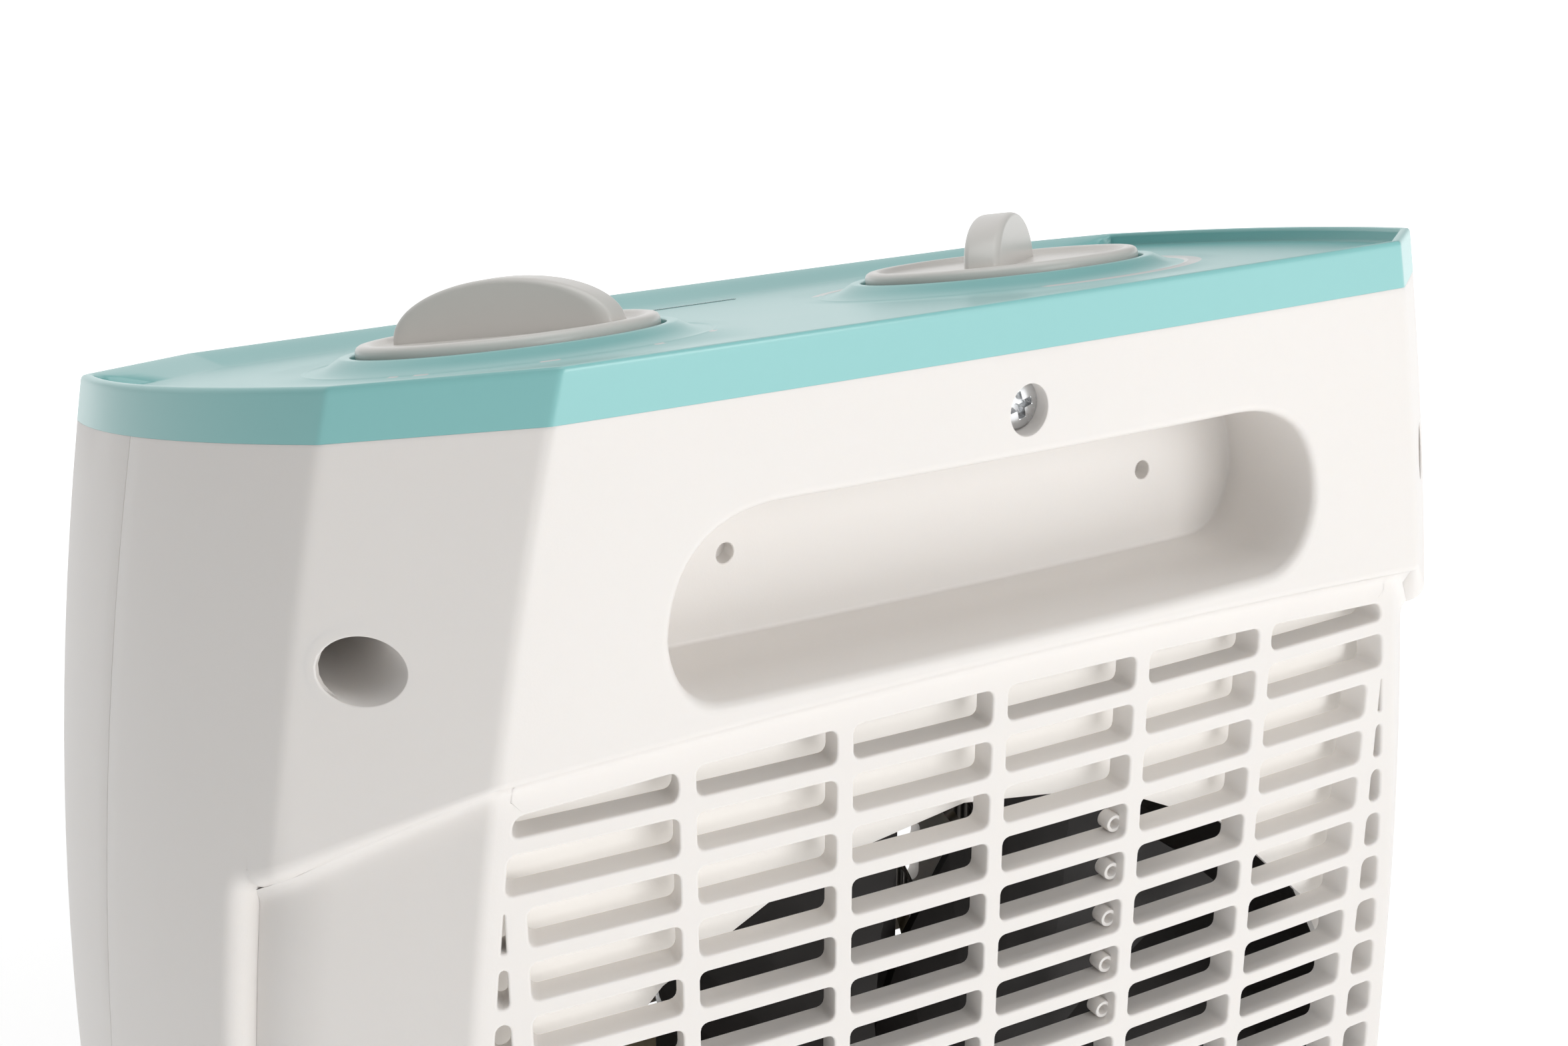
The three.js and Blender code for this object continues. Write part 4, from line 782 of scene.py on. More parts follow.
def border_strips(outline, seat, seat_back, levels, limit, bounds, shoulder_u):
    """The plain margins of the intake panel: above and below the slots, and the two chamfers, each
    with a front, a back and the edges between them. A chamfer's rows start at the heights of the
    cells' own rows, so that the two meet point to point."""
    first, high = levels[0][0], levels[-1][1]
    inner = divided([*bounds, limit(first)], FRACTIONS)
    under = GRILLE_FOOT + np.concatenate([EDGE_DEPTHS, [first - GRILLE_FOOT]])
    low_u = outline.at_x(inner[None, :], under[:, None] * 0 + first)
    low_z = np.repeat(under[:, None], len(inner), axis=1)
    inner = divided([*bounds, limit(high)], FRACTIONS)
    heads = step_edge(outline, outline.at_x(inner, high)) - GRILLE_GAP - EDGE_ZONE
    rising = EDGE_DEPTHS[::-1, None]
    top_u = np.repeat(outline.at_x(inner, heads)[None], len(rising), axis=0)
    crest = step_edge(outline, top_u) - GRILLE_GAP
    top_z = heads + (crest - heads) * (1 - rising / EDGE_ZONE)
    head_x = limit(high)
    head = float(step_edge(outline, outline.at_x(head_x, high))) - GRILLE_GAP - EDGE_ZONE
    spans = [*levels[:-1], (levels[-1][0], head)]
    meet = np.concatenate([under, *[low + (top - low) * UPRIGHTS[1:] for low, top in spans]])
    start = np.where(meet <= first, outline.at_x(limit(first), first),
                     outline.at_x(limit(meet), meet))
    start[meet > head - (head - levels[-1][0]) * 0.01] = outline.at_x(head_x, head)
    corner = outline.corner["rear"]
    zone = corner + np.linspace(-1.0, CREASE_ROWS, 7)
    rest = np.linspace(corner + CREASE_ROWS, shoulder_u - EDGE_ZONE, 7)[1:]
    tail = np.concatenate([zone, rest, shoulder_u - EDGE_DEPTHS[::-1][1:]])
    chamfer_u = np.column_stack([start, np.repeat(tail[None], len(meet), axis=0)])
    roof = step_edge(outline, chamfer_u) - GRILLE_GAP - EDGE_ZONE
    share = (meet[:, None] - GRILLE_FOOT) / (head - GRILLE_FOOT)
    chamfer_z = np.where(meet[:, None] <= under[-2], meet[:, None],
                         GRILLE_FOOT + share * (roof - GRILLE_FOOT))
    over_u = np.repeat(chamfer_u[-1][None], len(rising), axis=0)
    over_z = step_edge(outline, over_u) - GRILLE_GAP - rising
    over_z[0] = chamfer_z[-1]
    patches = [(low_u, low_z), (top_u, top_z), (chamfer_u, chamfer_z), (over_u, over_z)]
    rims = [(u[0], z[0]) for u, z in (patches[0], patches[2])]
    rims += [(u[-1], z[-1]) for u, z in (patches[1], patches[3])]
    rims += [(u[:, -1], z[:, -1]) for u, z in patches[2:]]
    grids = [made(u, z) for u, z in patches for made in (seat, seat_back)]
    grids += [np.stack([seat(u, z), seat_back(u, z)]) for u, z in rims]
    return grids + mirrored(grids)


def pins():
    """Five hollow pins that stand on the slats behind the grille, beside a rib."""
    turn = np.linspace(0, 2 * math.pi, 25)
    profile = np.array([(1.6, 66.9), (1.6, 69.3), (1.5, 69.5), (1.0, 69.5), (0.9, 69.3),
                        (0.9, 67.4), (0.0, 67.4)])
    grids = []
    for row in range(3, 8):
        z = ROW_TOP - ROW_PITCH * row + 1.6
        ring = np.stack([profile[:, :1] * np.cos(turn) - RIB_PITCH[1] + RIB_WIDTH / 2 + 1.5,
                         profile[:, 1:] + 0 * turn, profile[:, :1] * np.sin(turn) + z], -1)
        grids += [ring, np.stack([ring[0], ring[0] * 0 + ring[0, :-1].mean(axis=0)])]
    return grids


# ---- front shell and outlet --------------------------------------------------------------------

OUTLET = {"half": 82.0, "low": 30.0, "high": REAR_HEIGHT - 91.9, "rows": 17, "border": 6.0,
          "bar": 3.2, "depth": 7.0, "sink": 1.0}


def front_shell(outline):
    """The front half: a patch with the outlet's rounded opening, and the chamfers and sides."""
    end = outline.length / 2
    parting = end - float(outline.at_y(PARTING_Y))
    cell = 96.0
    rows = np.linspace(0, 1, 27)

    def top(w):
        return cap_joint(outline, end - w)

    columns = np.linspace(-cell, cell, 27)
    boundary = box_loop(columns, FOOT_HEIGHT, top(columns), rows)
    wide = OUTLET["half"] + GAP
    low, high = OUTLET["low"] - GAP, OUTLET["high"] + GAP
    hole = slot_loop([(-wide, low), (wide, low), (wide, high), (-wide, high)], 27, 27, 5.0)
    patch = ring_patch(boundary, hole, fillet(1.6, 4.0, 6), 3)
    grids = [wall(outline, end - patch[..., 0], patch[..., 1], patch[..., 2])]
    front = end - outline.corner["front"]
    side = end - outline.corner["side_front"]
    strip = stretches((cell, front, side, parting), (2, 11, 4, 11, 9))
    for hand in (1, -1):
        w = hand * strip
        z = FOOT_HEIGHT + (top(w) - FOOT_HEIGHT) * rows[:, None]
        grids.append(wall(outline, end - w[None, :], z))
    return grids


def outlet_grille(outline):
    """The outlet's panel: rows of rounded slots in three columns, with a back and edges."""
    end = outline.length / 2

    def place(x, z, depth):
        return wall(outline, end - x, z, OUTLET["sink"] + depth)

    def back(x, z):
        points = wall(outline, end - x, z, OUTLET["sink"])
        points[..., 1] = OUTLET["depth"] - HALF_DEPTH
        return points

    wide = OUTLET["half"] - OUTLET["border"]
    thirds = 2 * wide / 3
    base = OUTLET["low"] + OUTLET["border"]
    pitch = (OUTLET["high"] - OUTLET["border"] - base + OUTLET["bar"]) / OUTLET["rows"]
    half = OUTLET["bar"] / 2
    bounds = [-OUTLET["half"], -wide + thirds, -wide + 2 * thirds, OUTLET["half"]]
    heights = base + pitch * np.arange(OUTLET["rows"] + 1) - half
    heights[0], heights[-1] = OUTLET["low"], OUTLET["high"]
    grids = []
    for row in range(OUTLET["rows"]):
        z = base + pitch * row
        for column in range(3):
            x0 = -wide + column * thirds + (half if column else 0)
            x1 = -wide + (column + 1) * thirds - (half if column < 2 else 0)
            z1 = z + pitch - OUTLET["bar"]
            hole = slot_loop([(x0, z), (x1, z), (x1, z1), (x0, z1)], 7, 6, 2.0)
            us = bounds[column] + (bounds[column + 1] - bounds[column]) * FRACTIONS
            boundary = box_loop(us, heights[row], heights[row + 1], UPRIGHTS)
            grids += slot_cell(place, boundary, hole, 0.7, back)
    columns, ups = divided(bounds, FRACTIONS), divided(heights, UPRIGHTS)
    for z in (OUTLET["low"], OUTLET["high"]):
        grids.append(np.stack([place(columns, z + 0 * columns, 0), back(columns, z + 0 * columns)]))
    for x in (-OUTLET["half"], OUTLET["half"]):
        grids.append(np.stack([place(x + 0 * ups, ups, 0), back(x + 0 * ups, ups)]))
    return grids


# ---- cap ---------------------------------------------------------------------------------------

def on_cap(points):
    """From the cap's own frame (x across, y up the slope, z off the rim's plane) to the model's."""
    x, y, z = np.moveaxis(np.asarray(points, float), -1, 0)
    return np.stack([x, y * math.cos(TILT) - z * math.sin(TILT),
                     RIM_HEIGHT + y * math.sin(TILT) + z * math.cos(TILT)], -1)


def cap_plan(points):
    """X across and Y up the slope of points in the model's frame."""
    return np.stack([points[..., 0], points[..., 1] * math.cos(TILT)
                     + (points[..., 2] - RIM_HEIGHT) * math.sin(TILT)], -1)


SIDE_BAND = [(0.0, -7.9), (0.0, -7.6), (0.0, -4.0), (0.0, -1.2), (0.0, -0.8), (0.08, -0.4),
             (0.3, -0.1), (0.65, 0.0)]
RIM_PROFILE = np.array(SIDE_BAND + [
    (1.15, 0.0), (1.5, -0.1), (1.72, -0.4), (1.8, -0.8), (1.8, -2.2), (1.95, -2.65), (2.3, -2.85),
    (2.8, -2.9)])
BAND_PROFILE = np.array(SIDE_BAND + [
    (1.2, -0.08), (2.4, -0.32), (4.0, -0.75), (6.0, -1.35), (8.5, -2.1), (10.6, -2.68),
    (11.4, -2.86), (12.2, -2.9)])
FLOOR_LEVEL = -CAP_FLOOR * math.cos(TILT)
COLLAR = {"well": 26.3, "land": 2.0, "flare": 5.5, "height": 2.0, "hub": 5.9}


def collar_profile():
    """Radius and height of the ring round a knob, from the floor in: a hollow flank, a flat land
    with rounded edges, the well's wall, its floor and the hole for the knob's hub."""
    well, hub, top = COLLAR["well"], COLLAR["hub"], COLLAR["height"]
    foot = well + COLLAR["land"] + COLLAR["flare"]
    t = np.linspace(0, 1, 9)
    flank = pairs(foot - COLLAR["flare"] * t, top * t ** 2.0)
    flank[-1, 1] -= 0.12
    ridge = [(foot + 1.0, 0.0), (foot + 0.75, 0.12), (foot + 0.45, 0.12), (foot + 0.15, 0.0)]
    inner = [(well + 1.75, top), (well + 0.35, top), (well + 0.08, top - 0.1), (well, top - 0.35),
             (well, top - 1.8), (well, 0.05), (well - 0.3, -0.2), (20.0, -0.2), (hub + 1.0, -0.2),
             (hub, -0.2), (hub, -CAP_FLOOR)]
    return np.vstack([ridge, flank[1:], inner])


def top_cap(outline):
    """The cap: a profile carried round the outline, from the bottom of its side band over the rim
    to the sunken floor, and on each half of the floor a collar round the knob's place. Along the
    front and its chamfers the profile turns into a wide slope."""
    corner = outline.corner
    half = outline.length / 2
    bends = stretches((0, corner["rear"], corner["side_rear"], corner["side_front"],
                       corner["front"], half), (22, 11, 5, 11, 18, 11, 5, 11, 22))
    front = np.clip((bends - corner["side_front"] + 2.0) / 4.0, 0, 1)[None, :, None]
    profile = RIM_PROFILE[:, None] * (1 - front) + BAND_PROFILE[:, None] * front
    grids = []
    for side in (1, -1):
        u = side * bends[None, :] + 0 * profile[..., 0]
        y = outline.plan(u, profile[..., 0])[1]
        band = wall(outline, u, RIM_HEIGHT + CAP_SLOPE * y + profile[..., 1], profile[..., 0])
        grids.append(band)
        edge = cap_plan(band[-1])
        middle = np.linspace(edge[-1, 1], edge[0, 1], 41)[1:-1]
        loop = np.vstack([edge, pairs(0.0, middle)])
        loop[np.abs(loop[:, 0]) < 1e-6, 0] = 0.0
        centre = np.array([side * KNOB_X, KNOB_Y / math.cos(TILT)])
        loop = by_angle(loop, centre)
        rings = collar_profile()
        ring = aimed_at(loop, centre, np.full(2, rings[0, 0]))
        flat = np.array([loop + (ring - loop) * t for t in np.linspace(0, 1, 5)])
        flat = np.concatenate([flat, np.full((*flat.shape[:2], 1), FLOOR_LEVEL)], axis=-1)
        spoke = (ring - centre) / rings[0, 0]
        raised = np.array([np.column_stack([centre + spoke * reach,
                                            np.full(len(ring), FLOOR_LEVEL + height)])
                           for reach, height in rings])
        rows = np.concatenate([flat, raised[1:]])
        rows = np.concatenate([rows, rows[:, :1]], axis=1)
        grids.append(on_cap(rows))
    return grids


def lamp_window():
    """The slim lamp window: a rounded bar that stands just above the cap's floor."""
    low, high = node_box("indicator_lens")
    half = (high[0] - low[0]) / 2
    radius = 0.8
    middle = (low[1] + high[1]) / 2 / math.cos(TILT) + FLOOR_LEVEL * math.tan(TILT)
    turn = np.linspace(0, 2 * math.pi, 33)
    reach = np.where(np.cos(turn) >= 0, half - radius, radius - half)
    rows = []
    for scale, height in ((1.0, -0.5), (1.0, 0.06), (0.85, 0.12), (0.0, 0.12)):
        rows.append(np.stack([reach * (1 if scale else 0) + radius * scale * np.cos(turn),
                              middle + radius * scale * np.sin(turn),
                              FLOOR_LEVEL + height + 0 * turn], 1))
    foot = np.array([rows[0], rows[0] * (0, 0, 1) + (0, middle, 0)])
    return [on_cap(np.array(rows)), on_cap(foot)]


# ---- knobs -------------------------------------------------------------------------------------

def on_knob(kind, grid):
    """A grid about +Z turned to a knob's heading and set in its place on the cap."""
    shift = (KNOB_SIDE[kind] * KNOB_X, KNOB_Y / math.cos(TILT), 0)
    return on_cap(grid @ spin(math.radians(FIN_HEADING[kind])) + shift)


def knob(kind, size):
    """A knob: a turned disc with a raised lip round a dish, a hub below it, and a half-moon fin
    whose outline swells from the middle of one face to its edge, across, and back."""
    radius, thick = size.radius / MM, size.disc / MM
    lip, dish = radius - size.lip / MM, size.dish / MM
    top = KNOB_TOP
    bottom, floor = top - thick, top - dish
    disc = [(0, bottom), (radius - 0.8, bottom), (radius - 0.25, bottom + 0.25),
            (radius, bottom + 0.8), (radius, top - 1.3), (radius - 0.09, top - 0.8),
            (radius - 0.35, top - 0.35), (radius - 0.8, top - 0.09), (radius - 1.3, top),
            (lip + 0.5, top), (lip + 0.15, top - 0.06), (lip - 0.3, top - 0.35),
            (lip - 0.8, floor + 0.2), (lip - 1.4, floor + 0.02), (lip - 2.2, floor), (10, floor),
            (0, floor)]
    hub = [(0, bottom - 1.6), (4.7, bottom - 1.6), (5.0, bottom - 1.3), (5.0, bottom + 0.5),
           (0, bottom + 0.5)]
    half, rise = size.fin_length / MM / 2, size.fin_height / MM + dish
    width = size.fin_thick / MM / 2
    arc = np.linspace(0, math.pi, 49)
    moon = np.vstack([pairs(half * np.cos(arc), rise * np.sin(arc) ** FIN_SWELL),
                      pairs(np.linspace(-half, half, 13), -0.6)])
    moon = np.vstack([moon, moon[:1]])
    middle = np.array([0.0, rise * 0.35])
    edge = 1.3
    path = [(width, 0.0), (width, 0.5), (width, 0.85)]
    path += [(width - edge + edge * math.cos(a), 1 - (edge / rise) * (1 - math.sin(a)) * 0.9)
             for a in np.linspace(0, math.pi / 2, 6)]
    path += [(-across, scale) for across, scale in path[::-1]]
    fin = []
    for across, scale in path:
        shape = middle + (moon - middle) * scale
        fin.append(np.stack([shape[:, 0], np.full(len(shape), across), floor + shape[:, 1]], 1))
    return [on_knob(kind, grid) for grid in (lathe(disc, 96), lathe(hub, 96), np.array(fin))]


def pointer_groove(kind, size):
    """The thin dark line over one end of the fin's edge, where it has a groove: a dark ribbon that
    follows the half-moon just above its surface."""
    half, rise = size.fin_length / MM / 2, size.fin_height / MM + size.dish / MM
    arc = np.linspace(0.42, 0.98, 25)[:, None]
    across = np.linspace(-0.35, 0.35, 5)
    out = 1.006
    grid = np.stack([out * half * np.cos(arc) + 0 * across, across + 0 * arc,
                     KNOB_TOP - size.dish / MM + out * rise * np.sin(arc) ** FIN_SWELL
                     + 0 * across], -1)
    return [on_knob(kind, grid)]


# ---- small parts -------------------------------------------------------------------------------

def lathe(profile, segments=48):
    """A profile of (radius, height) turned about +Z."""
    profile = np.array(profile, float)
    turn = np.linspace(0, 2 * math.pi, segments + 1)
    return np.stack([profile[:, :1] * np.cos(turn), profile[:, :1] * np.sin(turn),
                     profile[:, 1:] + 0 * turn], -1)


def along_y(grid, place):
    """A grid about +Z set with its axis along +Y at a place."""
    x, y, z = np.moveaxis(grid, -1, 0)
    return np.stack([x, z, -y], -1) + np.asarray(place)


def spin(angle):
    """The turn about +Z by an angle, for rows of points multiplied from the left."""
    c, s = math.cos(angle), math.sin(angle)
    return np.array([[c, s, 0], [-s, c, 0], [0, 0, 1]])


def screw_head(radius, height):
    """A pan head as a height over a disc: a shallow dome with a cross recess, whose four arms are
    smooth steps down. Returned as a grid of rings about +Z, seat at 0."""
    turn = np.linspace(0, 2 * math.pi, 97)
    r = np.concatenate([np.linspace(0, 0.62, 26), np.linspace(0.64, 1, 10)])[:, None]
    x, y = r * np.cos(turn), r * np.sin(turn)
    dome = height * (0.62 + 0.38 * np.sqrt(np.clip(1 - (r / 1.04) ** 2.6, 0, 1)))
    arm = np.minimum(np.abs(x), np.abs(y))
    reach = np.maximum(np.abs(x), np.abs(y))
    cut = np.clip((0.16 - arm) / 0.035, 0, 1) * np.clip((0.56 - reach) / 0.05, 0, 1)
    heart = np.clip((0.26 - np.hypot(x, y)) / 0.05, 0, 1)
    z = dome - height * 0.62 * np.maximum(cut, heart)
    top = np.stack([x * radius, y * radius, z], -1)
    skirt = np.stack([top[-1], top[-1] * (1, 1, 0)])
    under = np.stack([skirt[1], skirt[1] * 0])
    return [top, skirt, under]


# ---- shader maths ------------------------------------------------------------------------------

def both_ways(operation):
    """A Math operation's two methods: as written, and reflected for a plain number on the left."""
    def forward(self, other):
        return self.maths(operation, self, other)

    def reflected(self, other):
        return self.maths(operation, other, self)

    return forward, reflected


class Value:
    """A socket of a node tree, so that shader maths is written as an expression."""

    def __init__(self, tree, socket):
        self.tree = tree
        self.socket = socket

    def maths(self, operation, *values, clamp=False):
        """The result of a new Math node."""
        node = self.tree.nodes.new("ShaderNodeMath")
        node.operation = operation
        node.use_clamp = clamp
        for i, value in enumerate(values):
            if isinstance(value, Value):
                self.tree.links.new(value.socket, node.inputs[i])
            else:
                node.inputs[i].default_value = value
        return Value(self.tree, node.outputs[0])

    __add__, __radd__ = both_ways("ADD")
    __sub__, __rsub__ = both_ways("SUBTRACT")
    __mul__, __rmul__ = both_ways("MULTIPLY")
    __truediv__, __rtruediv__ = both_ways("DIVIDE")
    __pow__, __rpow__ = both_ways("POWER")

    def __abs__(self):
        return self.maths("ABSOLUTE", self)

    def most(self, other):
        return self.maths("MAXIMUM", self, other)

    def angle(self, x):
        return self.maths("ARCTAN2", self, x)

    def clamped(self):
        return self.maths("ADD", self, 0.0, clamp=True)

    def below(self, limit, soft):
        """1 where the value is under the limit, 0 above it, with a soft edge."""
        return self.maths("MULTIPLY", limit - self, 1 / soft, clamp=True)


class Nodes:
    """A node tree under construction."""

    def __init__(self, tree):
        self.tree = tree

    def fill(self, node, inputs):
        """Sets or links a node's sockets. A socket is given by its name, with underscores for the
        spaces, or by an underscore and its number."""
        for key, value in inputs.items():
            socket = node.inputs[int(key[1:]) if key[1:].isdigit() else key.replace("_", " ")]
            if isinstance(value, Value):
                self.tree.links.new(value.socket, socket)
            else:
                socket.default_value = value

    def node(self, kind, settings=None, **inputs):
        """Any node but a Math node: its settings are set first, then its sockets."""
        node = self.tree.nodes.new(kind)
        for key, value in (settings or {}).items():
            setattr(node, key, value)
        self.fill(node, inputs)
        return node

    def value(self, node, output=0):
        """One output of a node."""
        return Value(self.tree, node.outputs[output])

    def axes(self, where):
        """The X, Y and Z of a vector."""
        parts = self.node("ShaderNodeSeparateXYZ", None, Vector=where)
        return [self.value(parts, k) for k in range(3)]

    def place(self, location=(0, 0, 0), rotation=(0, 0, 0), scale=(1, 1, 1)):
        """Object coordinates, centred, turned and scaled."""
        coordinates = self.value(self.node("ShaderNodeTexCoord"), "Object")
        mapping = self.node("ShaderNodeMapping", None, Vector=coordinates, Location=location,
                            Rotation=rotation, Scale=scale)
        return self.value(mapping)

    def noise(self, where, scale, detail=3.0, roughness=0.5):
        """Cloudy noise between 0 and 1."""
        node = self.node("ShaderNodeTexNoise", None, Vector=where, Scale=scale, Detail=detail,
                         Roughness=roughness)
        return self.value(node, "Fac")

    def mix(self, factor, a, b):
        """Colour a towards colour b."""
        a, b = (c if isinstance(c, Value) else (*c, 1.0) for c in (a, b))
        node = self.node("ShaderNodeMix", {"data_type": "RGBA"}, _0=factor, _6=a, _7=b)
        return self.value(node, 2)

    def relief(self, height, distance):
        """A bumped normal."""
        return self.value(self.node("ShaderNodeBump", None, Height=height, Distance=distance,
                                    Strength=1.0))


class Finish(Nodes):
    """A material under construction."""

    def __init__(self, name):
        self.material = bpy.data.materials.new(name)
        self.material.use_nodes = True
        super().__init__(self.material.node_tree)
        self.shader = self.tree.nodes["Principled BSDF"]

    def set(self, **inputs):
        """Sets or links the shader's sockets."""
        self.fill(self.shader, inputs)
        return self.material


def shade(base, factor):
    """A colour made darker or lighter."""
    return tuple(min(1.0, c * factor) for c in base)


def moulded(name, base, roughness, grain=0.000012, gloss=0.0, sss=0.0):
    """Injection-moulded plastic: a fine spark-eroded grain, faint flow clouds in the colour, and a
    roughness that wanders a little."""
    made = Finish(name)
    where = made.place()
    cloud = made.noise(where, 14.0, 4.0)
    fleck = made.noise(where, 420.0, 2.0)
    fine = made.noise(where, 2600.0, 2.0)
    tone = made.mix((cloud - 0.5) * 0.9 + 0.5, shade(base, 0.965), shade(base, 1.03))
    tone = made.mix(fleck.below(0.46, 0.25) * 0.12, tone, shade(base, 0.96))
    made.set(Base_Color=tone, Roughness=roughness + (cloud - 0.5) * 0.08,
             Normal=made.relief(fine, grain), Coat_Weight=gloss, Coat_Roughness=0.18,
             Subsurface_Weight=sss, Subsurface_Radius=(0.9, 0.75, 0.6),
             Subsurface_Scale=0.0015, Specular_IOR_Level=0.45)
    return made


def metal(name, base, roughness, brushed=(1.0, 1.0, 1.0), tarnish=0.12):
    """Bare or plated metal: streaks along one direction and a faint tarnish in patches."""
    made = Finish(name)
    where = made.place()
    streak = made.noise(made.place(scale=brushed), 300.0, 3.0)
    patch = made.noise(where, 60.0, 4.0)
    tone = made.mix(patch.below(0.52, 0.2) * tarnish * 2, base, shade(base, 0.62))
    made.set(Base_Color=tone, Metallic=1.0, Roughness=roughness + (streak - 0.5) * 0.25,
             Normal=made.relief(streak, 0.00002))
    return made


def wound(name, base, turns):
    """Enamelled or resistance wire: close turns as ridges, with painted shade darkening the grooves
    between them.
    """
    made = Finish(name)
    wave = made.node("ShaderNodeTexWave", {"wave_type": "BANDS", "bands_direction": "X"},
                     Vector=made.place(), Scale=turns, Distortion=0.3, Detail=1.0)
    ridge = made.value(wave, "Fac")
    # Painted shade: the colour falls to about a third of the wire's in the grooves between the
    # turns.
    made.set(Base_Color=made.mix(ridge, shade(base, 0.35), base), Metallic=0.9, Roughness=0.35,
             Normal=made.relief(ridge, 0.0003))
    return made


def printed_cap(base, ink):
    """The cap's glossy plastic with its printed marks: a tapering crescent round the thermostat's
    collar, which is a temperature scale, and small marks round the selector's."""
    made = moulded("cap_plastic", base, 0.33, 0.0000008, 0.2)
    made.set(Specular_IOR_Level=0.7)
    x, y, z = made.axes(made.place(location=(0, -math.sin(TILT) * RIM_HEIGHT * MM, 0),
                                   rotation=(-TILT, 0, 0)))
    dy = y - KNOB_Y * MM / math.cos(TILT)

    def about(side):
        """Distance from a knob's axis and the angle about it, from the knob's outer side."""
        dx = x - side * KNOB_X * MM
        return (dx * dx + dy * dy) ** 0.5, dy.angle(dx * side)

    radius, angle = about(KNOB_SIDE["thermostat"])
    sweep = abs(angle - math.radians(SCALE_ARC["middle"])) / math.radians(SCALE_ARC["reach"])
    width = (1 - sweep).clamped() * SCALE_ARC["swell"] + SCALE_ARC["thin"]
    marks = abs(radius - SCALE_ARC["radius"]).below(width, 0.0002) * sweep.below(1.0, 0.02)
    radius, angle = about(KNOB_SIDE["selector"])
    ring = abs(radius - MARK_RING["radius"]).below(MARK_RING["half"], 0.0002)
    for place_deg, wide in SELECTOR_MARKS:
        marks = marks.most(abs(angle - math.radians(place_deg)).below(wide, 0.01) * ring)
    bare = Value(made.tree, made.shader.inputs["Base Color"].links[0].from_socket)
    made.set(Base_Color=made.mix(marks * z.below(RIM_HEIGHT * MM * 2, 0.001), bare, ink))
    return made


def finishes():
    """All the materials, by name."""
    look = settings().finish
    made = {
        "housing": moulded("housing_plastic", look.housing, 0.42, 0.000010, 0.0, 0.12),
        "baffle": moulded("baffle_plastic_painted_glow", (0.90, 0.875, 0.84), 0.5),
        "cap": printed_cap(look.cap, look.ink),
        "knob": moulded("knob_plastic", look.knob, 0.34, 0.000006, 0.1),
        "dark": moulded("dark_plastic", look.inside, 0.5, 0.00002),
        "rubber": moulded("foot_rubber", (0.018, 0.018, 0.018), 0.85, 0.00005),
        "mica": moulded("mica_sheet", (0.46, 0.36, 0.20), 0.55, 0.00004),
        "lens": moulded("lamp_lens", (0.03, 0.16, 0.16), 0.12, 0.000003, 0.6),
        # Near-black colour of the ribbon laid over the selector fin's groove.
        "groove": moulded("pointer_dark_ribbon", (0.10, 0.095, 0.09), 0.5, 0.000004),
        "zinc": metal("zinc_plate", (0.72, 0.73, 0.74), 0.26),
        "steel": metal("sheet_steel", (0.13, 0.13, 0.135), 0.55, (1.0, 12.0, 1.0)),
        "bronze": metal("sintered_bronze", (0.42, 0.28, 0.12), 0.45),
        "copper": wound("copper_winding", (0.62, 0.26, 0.12), 260.0),
        "nichrome": wound("resistance_coil", (0.32, 0.30, 0.28), 180.0),
    }
    # Painted light: the baffle is no lamp, but a faint glow keeps it bright behind the intake
    # slots.
    made["baffle"].set(Emission_Color=(1.0, 0.98, 0.95, 1.0), Emission_Strength=0.16)
    return {key: finish.material for key, finish in made.items()}


FINISH = {}
SHAPE = {}


def outline_now(name="crease"):
    """The outline for one of the two crease roundings, made once."""
    if name not in SHAPE:
        SHAPE[name] = Outline(getattr(settings().housing, name) / MM)
    return SHAPE[name]


def finish_now(name):
    """A material by name; all of them are made on first use."""
    if not FINISH:
        FINISH.update(finishes())
    return FINISH[name]


# ---- operators ---------------------------------------------------------------------------------

def pale_floor_painted_glow():
    """The floor's finish: near white, with a painted glow that lights the heater from below like a
    lamp.
    The glow grows with the distance from the object and falls off towards +X, which paints shade
    on the floor near the object and towards +X."""
    pale = Finish("pale_floor_painted_glow")
    where = pale.place()
    x, y, _ = pale.axes(where)
    # Painted shade: the floor's glow is weakest near the object and dims again towards +X.
    far = (((x * x + y * y) ** 0.5 - 0.25) / 0.9).clamped()
    glow = pale.mix(far, (0.42, 0.42, 0.42), (1.0, 1.0, 1.0))
    glow = pale.mix(((x - 0.25) / 0.3).clamped(), glow, (0.3, 0.3, 0.3))
    tone = pale.mix(pale.noise(where, 2.0), (0.93, 0.93, 0.93), (0.95, 0.95, 0.95))
    return pale.set(Base_Color=tone, Roughness=0.8, Emission_Color=glow, Emission_Strength=0.86)


def studio():
    """The world: dim grey, brighter towards -Y, and a white backdrop for the camera."""
    world = bpy.data.worlds.new("studio")
    world.use_nodes = True
    sky = Nodes(world.node_tree)
    y = sky.axes(sky.value(sky.node("ShaderNodeTexCoord"), "Generated"))[1]
    tone = sky.mix(((-1.0 * y - 0.6) * 4.0).clamped(), (0.24, 0.24, 0.24), (0.95, 0.95, 0.95))
    seen = sky.value(sky.node("ShaderNodeLightPath"), "Is Camera Ray")
    tone = sky.mix(seen, tone, (1.0, 1.0, 1.0))
    sky.fill(sky.tree.nodes["Background"], {"Color": tone})
    return world


def aimed(thing, place, aim):
    """Puts a light or camera in its place, looking at a point, and links it to the scene."""
    thing.location = place
    thing.rotation_euler = (Vector(aim) - Vector(place)).to_track_quat("-Z", "Y").to_euler()
    bpy.context.scene.collection.objects.link(thing)
    return thing


